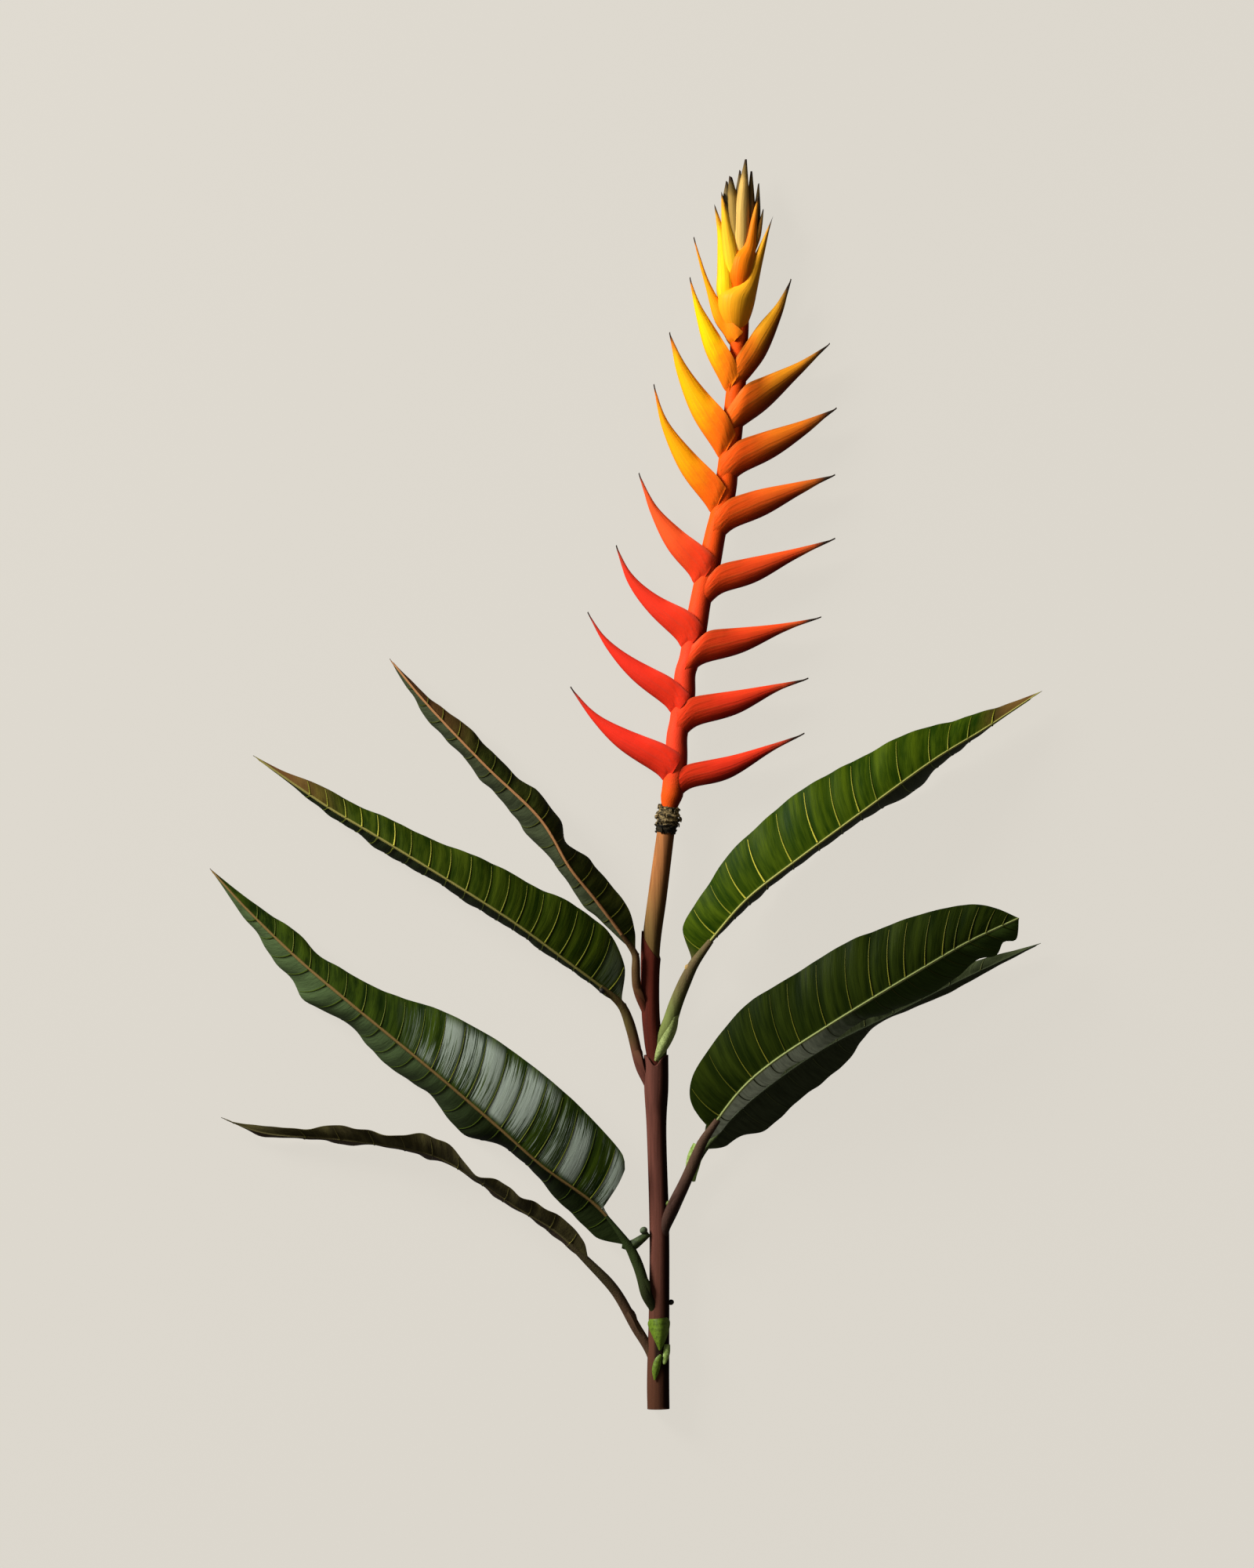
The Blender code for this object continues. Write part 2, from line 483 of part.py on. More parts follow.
def boolean(target, cutter, operation, solver="EXACT"):
    """Apply one Boolean to the target and remove the other object."""
    step = target.modifiers.new(operation.title(), "BOOLEAN")
    step.operation = operation
    step.solver = solver
    step.object = cutter
    bpy.context.view_layer.update()
    result = bpy.data.meshes.new_from_object(
        target.evaluated_get(bpy.context.evaluated_depsgraph_get()))
    target.modifiers.remove(step)
    target.data = result
    bpy.data.objects.remove(cutter, do_unlink=True)


def cutter_rod(name, start, end, radius, group):
    """A cylinder between two points, used to cut a bore or a cup."""
    a, b = Vector(start) * MM, Vector(end) * MM
    bpy.ops.mesh.primitive_cylinder_add(vertices=24, radius=radius * MM, depth=(b - a).length)
    made = bpy.context.object
    made.name = name
    made.rotation_euler = (b - a).to_track_quat("Z", "Y").to_euler()
    made.location = (a + b) / 2
    for owner in list(made.users_collection):
        owner.objects.unlink(made)
    group.objects.link(made)
    made.hide_render = True
    made.display_type = "WIRE"
    return made


def finish(made, slot):
    made.data.materials.clear()
    made.data.materials.append(material(slot))
    made.data.shade_smooth()
    made.data.set_sharp_from_angle(angle=math.radians(40))


def make_stem(group, cutters):
    """The lower stem, with the bore that the flower stalk stands in."""
    stem = tube("lower_stem", STEM_AXIS, 18, group, sides=16)
    top = np.array(STEM_AXIS[-1][:3])
    below = support_at(STEM_AXIS, top[1] - BORE_DEPTH)[:3]
    way = unit(top - below)
    bore = cutter_rod("stem_bore", below, top + 2 * way, BORE_RADIUS, cutters)
    boolean(stem, bore, "DIFFERENCE")
    finish(stem, "stem_brown")


def collar_rings(axis_point, way):
    """Rings of the crumpled collar, each ridge torn unevenly by seeded draws."""
    draw = random.Random(COLLAR_SEED)
    side = unit(np.cross(way, (0.0, 0.0, 1.0)))
    up = np.cross(side, way)
    rings = []
    stations = COLLAR_RIDGES * 2 + 1
    for i in range(stations):
        share = i / (stations - 1)
        run = COLLAR_LENGTH * (share - 1.0) + COLLAR_RIM
        mean = COLLAR_RIDGE + COLLAR_SWELL * math.sin(math.pi * share) if i % 2 else COLLAR_GROOVE
        ring = []
        for j in range(TUBE_SIDES):
            turn = 2 * math.pi * j / TUBE_SIDES
            tear = COLLAR_CRUMPLE * (draw.random() - 0.5)
            radius = mean + tear + COLLAR_LOBE_HEIGHT * math.sin(COLLAR_LOBES * turn + i)
            ring.append(axis_point + way * run + radius * (math.cos(turn) * side + math.sin(turn) * up))
        rings.append(ring)
    return np.array(rings)


def make_stalk(group, cutters):
    """The flower stalk with its dry collar, cupped at the top for the foot of the spike."""
    stalk = tube("peduncle", STALK_AXIS, 20, group)
    top = np.array(STALK_AXIS[-1][:3])
    way = unit(top - np.array(STALK_AXIS[-2][:3]))
    collar = spindle("collar", collar_rings(top, way), group)
    boolean(stalk, collar, "UNION")
    cup = cutter_rod("collar_cup", top + GAP * way, top + CUP_DEPTH * way, CUP_RADIUS, cutters)
    boolean(stalk, cup, "DIFFERENCE")
    finish(stalk, "stalk_tan")


def make_rachis(group):
    """The zigzag axis of the spike."""
    rachis = tube("rachis", RACHIS_AXIS, 34, group, sides=12)
    finish(rachis, "bract_orange")


def push_out(points, axis, clear, seat=0.0):
    """Move points that lie too near an axis straight away from it, and those within seat down on it."""
    line = smooth(axis, 160)
    flat = points.reshape(-1, 3)
    nearest = np.argmin(np.linalg.norm(flat[:, None, :] - line[None, :, :3], axis=2), axis=1)
    centre, radius = line[nearest, :3], line[nearest, 3] + clear
    ahead = unit(line[np.minimum(nearest + 1, len(line) - 1), :3] - line[np.maximum(nearest - 1, 0), :3])
    away = flat - centre
    along = np.sum(away * ahead, axis=1, keepdims=True)
    away -= ahead * along
    distance = np.linalg.norm(away, axis=1)
    short = (distance < radius + seat) & (np.abs(along[:, 0]) < END_REACH)
    flat = flat + unit(away) * np.where(short, radius - distance, 0.0)[:, None]
    return flat.reshape(points.shape)


def boat_rows(upper, keel, clasp):
    """The inside of a boat-shaped bract: rows from the foot to the tip, columns from edge to edge."""
    rim = smooth(upper, 60)
    floor = smooth(keel, 60)
    places = np.linspace(0, 1, 60)
    rows = []
    for t in BRACT_ROWS:
        held = max(-t, 0.0)
        top = np.array([np.interp(t, places, rim[:, k]) for k in range(2)])
        low = np.array([np.interp(t, places, floor[:, k]) for k in range(2)])
        top += held * (np.array(clasp) - rim[0])
        low += held * np.array(KEEL_CLASP)
        if t < 1:
            across = unit(top - low)
        depth = max(np.linalg.norm(top - low), BRACT_TIP)
        wall = min(BRACT_WALL, depth / 4)
        curl = BRACT_FOOT_CURL + (BRACT_CURL - BRACT_FOOT_CURL) * ramp(t, 0.0, BRACT_CURL_RUN)
        angles = np.linspace(-curl, curl, BRACT_COLUMNS)
        rise = (1 - np.cos(angles)) / (1 - math.cos(curl)) * (depth - wall) + wall
        half = max(BRACT_FULLNESS * depth - wall, BRACT_TIP / 4)
        rows.append(np.column_stack([low + np.outer(rise, across), SPIKE_HEIGHT + half * np.sin(angles)]))
    return np.array(rows)


def make_bract(name, outline, side, slot, group):
    """One bract, whose foot clasps the axis of the spike and the bud above it."""
    inside = push_out(boat_rows(*outline), RACHIS_AXIS, BRACT_CLEARANCE)
    inside = push_out(inside, BUD_CORE, BRACT_CLEARANCE)
    inside[0] = push_out(inside[0], RACHIS_AXIS, FOOT_CLEARANCE, seat=FOOT_SEAT)
    outside = inside + square_to(inside, side) * BRACT_WALL
    bract = thick_sheet(name, inside, outside, side > 0, group)
    finish(bract, slot)


def make_bracts(group):
    slots = ("bract_red",) * 3 + ("bract_orange",) * 2 + ("bract_yellow",) * 3
    for number, (left, right, slot) in enumerate(zip(LEFT_BRACTS, RIGHT_BRACTS, slots), start=1):
        make_bract(f"bract_left_{number}", left, -1, slot, group)
        make_bract(f"bract_right_{number}", right, 1, slot, group)


def bud_rings(outer, inner, shift):
    """Rings of one small closed bract of the bud."""
    left = smooth(outer, 40)
    right = smooth(inner, 40)
    places = np.linspace(0, 1, 40)
    turns = 2 * np.pi * np.arange(BUD_SIDES) / BUD_SIDES
    rings = []
    for t in BUD_ROWS:
        a = np.array([np.interp(t, places, left[:, k]) for k in range(2)])
        b = np.array([np.interp(t, places, right[:, k]) for k in range(2)])
        half = (b - a) / 2
        size = max(np.linalg.norm(half), BUD_TIP)
        plane = (a + b) / 2 + np.outer(np.cos(turns), unit(half) * size)
        height = SPIKE_HEIGHT + shift * (1 - t / 2) + BUD_FULLNESS * size * np.sin(turns)
        rings.append(np.column_stack([plane, height]))
    return np.array(rings)


def make_bud(group):
    """The closed bud of small overlapping bracts, joined in one solid."""
    bud = tube("apex_bud", BUD_ROOT, 8, group, sides=12)
    for number, (outer, inner, shift) in enumerate(BUD_BRACTS):
        part = spindle(f"bud_{number}", bud_rings(outer, inner, shift), group)
        boolean(bud, part, "UNION", "MANIFOLD")
    finish(bud, "bract_yellow")


def blade_places():
    """Shares of the blade's length, closer together at its rounded base."""
    return np.linspace(0, 1, BLADE_ROWS) ** BASE_CROWDING


def edge_reach(rib, ways, edge):
    """From each point of the rib, the vector to where its vein meets the edge, as seen from above."""
    line = smooth(edge, 400)
    reach = np.zeros_like(rib)
    for row, (start, way) in enumerate(zip(rib, ways)):
        off = line - start
        beside = off[:, 0] * way[1] - off[:, 1] * way[0]
        along = off[:, 0] * way[0] + off[:, 1] * way[1]
        hits = np.nonzero((beside[:-1] * beside[1:] <= 0) & (along[:-1] > GAP))[0]
        if len(hits):
            i = hits[np.argmax(along[hits])]
            reach[row] = off[i]
        else:
            reach[row, :2] = way * TIP_HALF_WIDTH
    return reach


def blade_faces(leaf):
    """Upper face of a blade, its thickness and how far that is square to the face or to the rib.

    Columns run from the lower edge over the rib to the upper edge.
    """
    u = blade_places()
    rib = smooth(leaf["rib"], 0, ease=u)
    ahead = unit(np.gradient(rib, axis=0))
    plan = unit(ahead[:, :2])
    left = np.column_stack([-plan[:, 1], plan[:, 0]])
    forward = np.where(u < 1, VEIN_LEAN + VEIN_LEAN_GROWTH * u, 0.0)[:, None]
    face = np.zeros((BLADE_ROWS, len(LEAF_COLUMNS), 3))
    widths = {}
    for sign, edge_name in ((-1, "lower"), (1, "upper")):
        reach = edge_reach(rib, unit(sign * leaf["side"] * left + forward * plan), leaf[edge_name])
        width = np.linalg.norm(reach, axis=1, keepdims=True)
        lift = unit(sign * leaf["side"] * np.cross(ahead, reach))
        widths[sign] = width
        wave = WAVE_HEIGHT * np.sin(2 * np.pi * WAVES * u + (0.0 if sign > 0 else LOWER_WAVE_PHASE))
        wave *= np.clip(u / WAVE_FADE, 0, 1) * np.clip((1 - u) / WAVE_FADE, 0, 1)
        wave *= np.clip(width[:, 0] / WAVE_FULL_WIDTH, 0, 1)
        for column, tau in enumerate(LEAF_COLUMNS):
            if tau * sign < 0:
                continue
            s = abs(tau)
            middle = rib + reach / 2 + lift * BLADE_CROWN * width - ahead * VEIN_BOW * width
            point = (1 - s) ** 2 * rib + 2 * s * (1 - s) * middle + s ** 2 * (rib + reach)
            face[:, column] = point + lift * (s ** 2 * wave)[:, None]
    face[:, :, 2] = np.maximum(face[:, :, 2], LOWEST_FACE)
    depth = np.minimum(leaf["rib_depth"] * (1 - RIB_TAPER * u),
                       RIB_SHARE * (widths[-1] + widths[1])[:, 0])
    thick = np.zeros(face.shape[:2])
    own = np.zeros(face.shape[:2])
    for column, tau in enumerate(LEAF_COLUMNS):
        width = widths[-1 if tau < 0 else 1][:, 0]
        away = np.clip((abs(tau) - RIB_COLUMN) / (RIB_SHOULDER - RIB_COLUMN), 0, 1)
        own[:, column] = away * np.clip((width - NARROW_BLADE) / (FULL_BLADE - NARROW_BLADE), 0, 1)
        share = {0.0: 1.0, RIB_COLUMN: RIB_SHOULDER}.get(abs(tau), 0.0)
        thick[:, column] = np.maximum(depth * share, BLADE_WALL)
    return face, thick, own


def foot_path(leaf):
    """Points of the middle of the foot and stalk, from the clasping end to the blade."""
    axis = STEM_AXIS if leaf["support"] == "stem" else STALK_AXIS
    turn = math.radians(leaf["angle"])
    out = np.array((math.cos(turn), 0.0, math.sin(turn)))
    hugging = []
    for y in np.linspace(*leaf["foot"], 3):
        centre = support_at(axis, y)
        hugging.append(centre[:3] + out * (centre[3] + FOOT_GAP))
    return smooth(hugging + list(leaf["stalk"]) + [leaf["rib"][0]], STALK_ROWS + 1), out, axis


def ramp(value, start, length):
    """A smooth step from 0 to 1 over a length."""
    t = min(max((value - start) / length, 0.0), 1.0)
    return t * t * (3 - 2 * t)


def stalk_faces(leaf, blade):
    """Upper face and thickness of a foot and stalk: a clasping tongue that rolls up to a grooved stalk."""
    path, out, axis = foot_path(leaf)
    side = leaf["side"]
    ahead = unit(np.gradient(path, axis=0))
    opened = blade[OPENING_ROWS + 1, -1] - blade[OPENING_ROWS + 1, 0]
    inner = np.cross(ahead[-1], opened) * side
    clasp = support_at(axis, leaf["foot"][1])[3] + GAP
    bore = STALK_BORE_SHARE * leaf["stalk_radius"]
    tau = np.array(LEAF_COLUMNS)
    face, thick = [], []
    for p, way, place in zip(path, ahead, np.linspace(0, 1, STALK_ROWS + 1)):
        turn = ramp(place, FACE_TURN_START, FACE_TURN_LENGTH)
        normal = (1 - turn) * -out + turn * unit(inner)
        normal = unit(normal - way * np.dot(normal, way))
        beside = np.cross(normal, way) * side
        roll = ramp(place, ROLL_START, ROLL_LENGTH)
        radius = clasp + (bore - clasp) * roll
        curl = leaf["clasp"] * (FOOT_TAPER + (1 - FOOT_TAPER) * min(place / FOOT_TAPER_RUN, 1.0))
        curl += (STALK_CURL - curl) * roll ** 2
        curl += (OPEN_CURL - curl) * ramp(place, OPENING_START, 1 - OPENING_START)
        radial = np.outer(np.sin(tau * curl), beside) - np.outer(np.cos(tau * curl), normal)
        row = p + normal * (radius - bore * roll) + radial * radius
        if place < STALK_FREE:
            row = push_out(row, axis, FOOT_GAP + roll * (leaf["stalk_radius"] - bore))
        face.append(row)
        grown = leaf["stalk_radius"] - bore - FOOT_WALL
        thick.append(FOOT_WALL + grown * roll * (1 - LIP_THINNING * tau ** 2))
    return np.array(face), np.array(thick)


def make_leaf(name, leaf, group):
    """One leaf: foot, grooved stalk, rib and waved blade in one piece."""
    face, thick, own = blade_faces(leaf)
    stalk, stalk_thick = stalk_faces(leaf, face)
    middle = len(LEAF_COLUMNS) // 2
    for i in range(OPENING_ROWS):
        share = i / OPENING_ROWS
        rolled = stalk[-1] + (face[i, middle] - stalk[-1, middle])
        face[i] = (1 - share) * rolled + share * face[i]
        thick[i] += max(1 - OPENING_THINNING * share, 0.0) * (stalk_thick[-1] - thick[i])
    own[0] = (1 + own[OPENING_ROWS]) / 2
    face = np.concatenate([stalk[:-1], face])
    thick = np.concatenate([stalk_thick[:-1], thick])
    own = np.concatenate([np.ones_like(stalk_thick[:-1]), own])[:, :, None]
    way = square_to(face, -leaf["side"])
    way = unit(own * way + (1 - own) * way[:, middle:middle + 1])
    made = thick_sheet(name, face, face + way * thick[:, :, None], leaf["side"] < 0, group)
    finish(made, "leaf_dry" if name == "leaf_left_4" else "leaf_green")


def make_scale(group):
    """The pointed green bud scale on the front of the stem."""
    rows = []
    for place in np.linspace(0, 1, SCALE_ROWS):
        y = SCALE_BASE_Y + (SCALE_TIP_Y - SCALE_BASE_Y) * place
        centre = support_at(STEM_AXIS, y)
        half = SCALE_HALF_ANGLE * (1 - place) ** SCALE_TAPER + SCALE_TIP_ANGLE
        turns = math.pi / 2 + np.linspace(-half, half, SCALE_COLUMNS)
        radius = centre[3] + SCALE_CLEARANCE
        rows.append(np.column_stack([centre[0] + radius * np.cos(turns), np.full(SCALE_COLUMNS, y),
                                     centre[2] + radius * np.sin(turns)]))
    scale = shell("bud_scale", np.array(rows), SCALE_WALL, group)
    finish(scale, "bud_green")


def main():
    clear_scene()
    flower = collection("heliconia_flower")
    cutters = collection("cutters")
    make_stem(flower, cutters)
    make_stalk(flower, cutters)
    make_rachis(flower)
    make_bracts(flower)
    make_bud(flower)
    for name, leaf in LEAVES.items():
        make_leaf(name, leaf, flower)
    make_scale(flower)


main()
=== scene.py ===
"""A cut heliconia flower lying down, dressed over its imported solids.

The tables are in millimetres and the scene is in metres. The flower lies on the plane z = 0 with its cut end
at -Y. Each finer piece keeps the outline and the lie of the solid that it stands for.
"""

import math
import random

import bmesh
import bpy
import numpy as np
from bpy.props import FloatProperty, FloatVectorProperty, IntProperty, PointerProperty
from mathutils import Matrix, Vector


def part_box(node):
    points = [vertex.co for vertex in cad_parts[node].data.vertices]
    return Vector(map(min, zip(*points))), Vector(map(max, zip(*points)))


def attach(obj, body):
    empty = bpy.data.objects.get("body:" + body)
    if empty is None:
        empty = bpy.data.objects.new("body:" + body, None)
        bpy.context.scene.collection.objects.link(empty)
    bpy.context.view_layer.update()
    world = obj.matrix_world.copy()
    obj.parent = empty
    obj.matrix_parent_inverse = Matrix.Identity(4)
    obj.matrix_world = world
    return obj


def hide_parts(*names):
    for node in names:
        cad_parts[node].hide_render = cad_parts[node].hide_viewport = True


bl_info = {
    "name": "Heliconia flower",
    "version": (1, 0, 0),
    "blender": (4, 5, 0),
    "location": "View3D > Sidebar > Heliconia",
    "description": "Leaves, bracts, stem and stage of a cut heliconia flower",
    "category": "Add Mesh",
}

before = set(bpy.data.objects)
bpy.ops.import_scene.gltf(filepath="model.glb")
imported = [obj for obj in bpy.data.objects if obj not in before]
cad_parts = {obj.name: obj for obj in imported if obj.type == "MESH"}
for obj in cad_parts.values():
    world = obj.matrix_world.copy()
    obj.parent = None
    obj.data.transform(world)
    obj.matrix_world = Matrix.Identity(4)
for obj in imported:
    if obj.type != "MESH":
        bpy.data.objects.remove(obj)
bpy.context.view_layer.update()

MM = 0.001
GAP = 0.3
END_REACH = 2.0
SHEET_EDGE = math.radians(60)
LOWEST_FACE = 0.85
LOWEST_UNDER = 0.12

# Stem, flower stalk and axis of the spike: x, y, z of the middle line and its radius
STEM_AXIS = ((20, -398, 7.1, 7.1), (19.8, -377, 7.3, 7.1), (20.5, -328, 8, 6.5), (20.5, -281.5, 8.8, 6.3),
             (18.8, -222, 9.7, 6.25), (18.6, -194, 10.1, 7.7), (18.5, -172.5, 10.4, 7.8))
STALK_AXIS = ((18.7, -196.5, 10.1, 5.5), (18.5, -176, 10.4, 5.5), (16.7, -163, 10.5, 5.5),
              (14.9, -142, 10.6, 5.5), (15.2, -105.5, 11, 5.8), (19.5, -70.5, 11.5, 6),
              (24.6, -31.5, 12.2, 5.6), (26.6, -16.9, 12.5, 5.6))
RACHIS_AXIS = ((26.7, -16.2, 12.5, 4.6), (28.2, -8, 12.5, 6.9), (29, -5, 12.6, 7), (31.2, 14, 12.6, 7.2),
               (31.8, 30, 12.6, 6.7), (33.8, 40, 12.6, 6.7), (36.2, 56, 12.6, 7.2), (37, 70, 12.6, 6.7),
               (40, 80, 12.6, 6.7), (43.4, 97, 12.6, 7.2), (47.2, 118, 12.6, 6.7), (52, 138, 12.6, 7.2),
               (56.5, 160, 12.6, 6.6), (59.6, 171, 12.6, 6.8), (63, 190, 12.6, 7), (64.6, 206, 12.6, 6.4),
               (67, 225, 12.6, 6.6), (68.8, 246, 12.6, 6.2), (70.4, 262, 12.6, 5.8), (71, 280, 12.6, 5.2))

# Rows along the stem, the flower stalk and the axis, the sides of the axis, the mouth of the stem, its three
# soft flutes, and the sheath round the foot of the flower stalk
STEM_ROWS = 130
STALK_ROD_ROWS = 110
AXIS_ROWS = 120
AXIS_SIDES = 40
MOUTH_DEPTH = 7.0
MOUTH_WIDTH = 0.5
MOUTH_TURN = math.radians(95)
BORE_FLOOR = np.array((0.0, 15.0, 0.6))
FLUTES = 3
FLUTE_DEPTH = 0.012
SHEATH_PLACES = np.linspace(0.02, 0.52, 60)
SHEATH_WALL = 0.3
SHEATH_SLANT = 9.0
SHEATH_TURN = math.radians(200)
CUT_EDGE = math.radians(50)

# Bracts of the spike as x, y points in its plane: the upper edge from its mouth, the keel from its foot, the
# tip of both, and the end of the edge that clasps the axis
SPIKE_HEIGHT = 12.6
LEFT_BRACTS = (
    (((24.5, 25.5), (0, 34.5), (-20, 45)), ((22.5, 4.5), (-5, 22.5), (-23, 42)), (-36, 61.5), (36, 17.5)),
    (((29, 67.5), (4, 80), (-13.5, 93)), ((28, 47.5), (4, 66), (-12.5, 86)), (-25, 109), (40.5, 56)),
    (((40, 110), (19, 120), (3, 133.5)), ((35, 89), (14, 109), (0.5, 128.5)), (-7, 151.5), (50, 99)),
    (((48, 151.5), (33, 162.5), (18, 177.5)),
     ((43.5, 129.5), (26.5, 149), (15.5, 172)), (7.5, 197.5), (57.5, 143)),
    (((57.5, 196), (40, 213), (25, 232)), ((52.5, 175), (34.5, 198.5), (22.5, 227)), (17, 254), (63, 188)),
    (((63, 236), (48, 252), (36, 268.5)), ((57.5, 210), (42, 234), (32, 261.5)), (27, 287), (69.5, 222)),
    (((66.5, 273.5), (55, 291), (46, 306)), ((61.5, 252.5), (50, 275.5), (43.5, 302)), (40, 322), (72, 261)),
    (((69, 293), (61, 303.5), (51, 322)), ((65, 282.5), (56, 294.5), (50.5, 316)), (42.5, 347.5), (73, 287)),
)
RIGHT_BRACTS = (
    (((37, 12.5), (65, 17.5), (90, 24.5)), ((39, -2.5), (65, 3.5), (92, 20.5)), (113, 32), (33.5, 6.5)),
    (((40.5, 55.5), (68, 59), (93, 63)), ((43, 37), (70, 44.5), (95, 58.5)), (115.5, 67), (37.5, 49.5)),
    (((51.5, 98), (76, 99.5), (100, 102)), ((46.5, 76.5), (73, 83.5), (100, 97)), (123.5, 106), (46.5, 91)),
    (((59, 140), (80, 144), (107, 149.5)),
     ((59, 121.5), (82, 128.5), (107, 143)), (132.5, 156), (55.5, 133.5)),
    (((64.5, 181.5), (84, 187), (107, 191.5)),
     ((66.5, 162.5), (88, 171), (110, 184)), (132.5, 196.5), (61, 175)),
    (((70.5, 218.5), (90, 224.5), (112, 231)),
     ((72.2, 197.5), (93, 207.5), (112, 221)), (133.5, 239), (64.5, 209.5)),
    (((75.5, 254.5), (92.5, 261), (111, 269)),
     ((71, 226), (89, 239), (108, 258.5)), (129, 280), (67.5, 239)),
    (((72.5, 276), (84, 292), (95.5, 305.5)),
     ((77, 257.5), (88.5, 273.5), (98.5, 299)), (104.5, 321), (71.5, 268.5)),
)
BRACT_SLOTS = ("bract_red",) * 3 + ("bract_orange",) * 2 + ("bract_yellow",) * 3

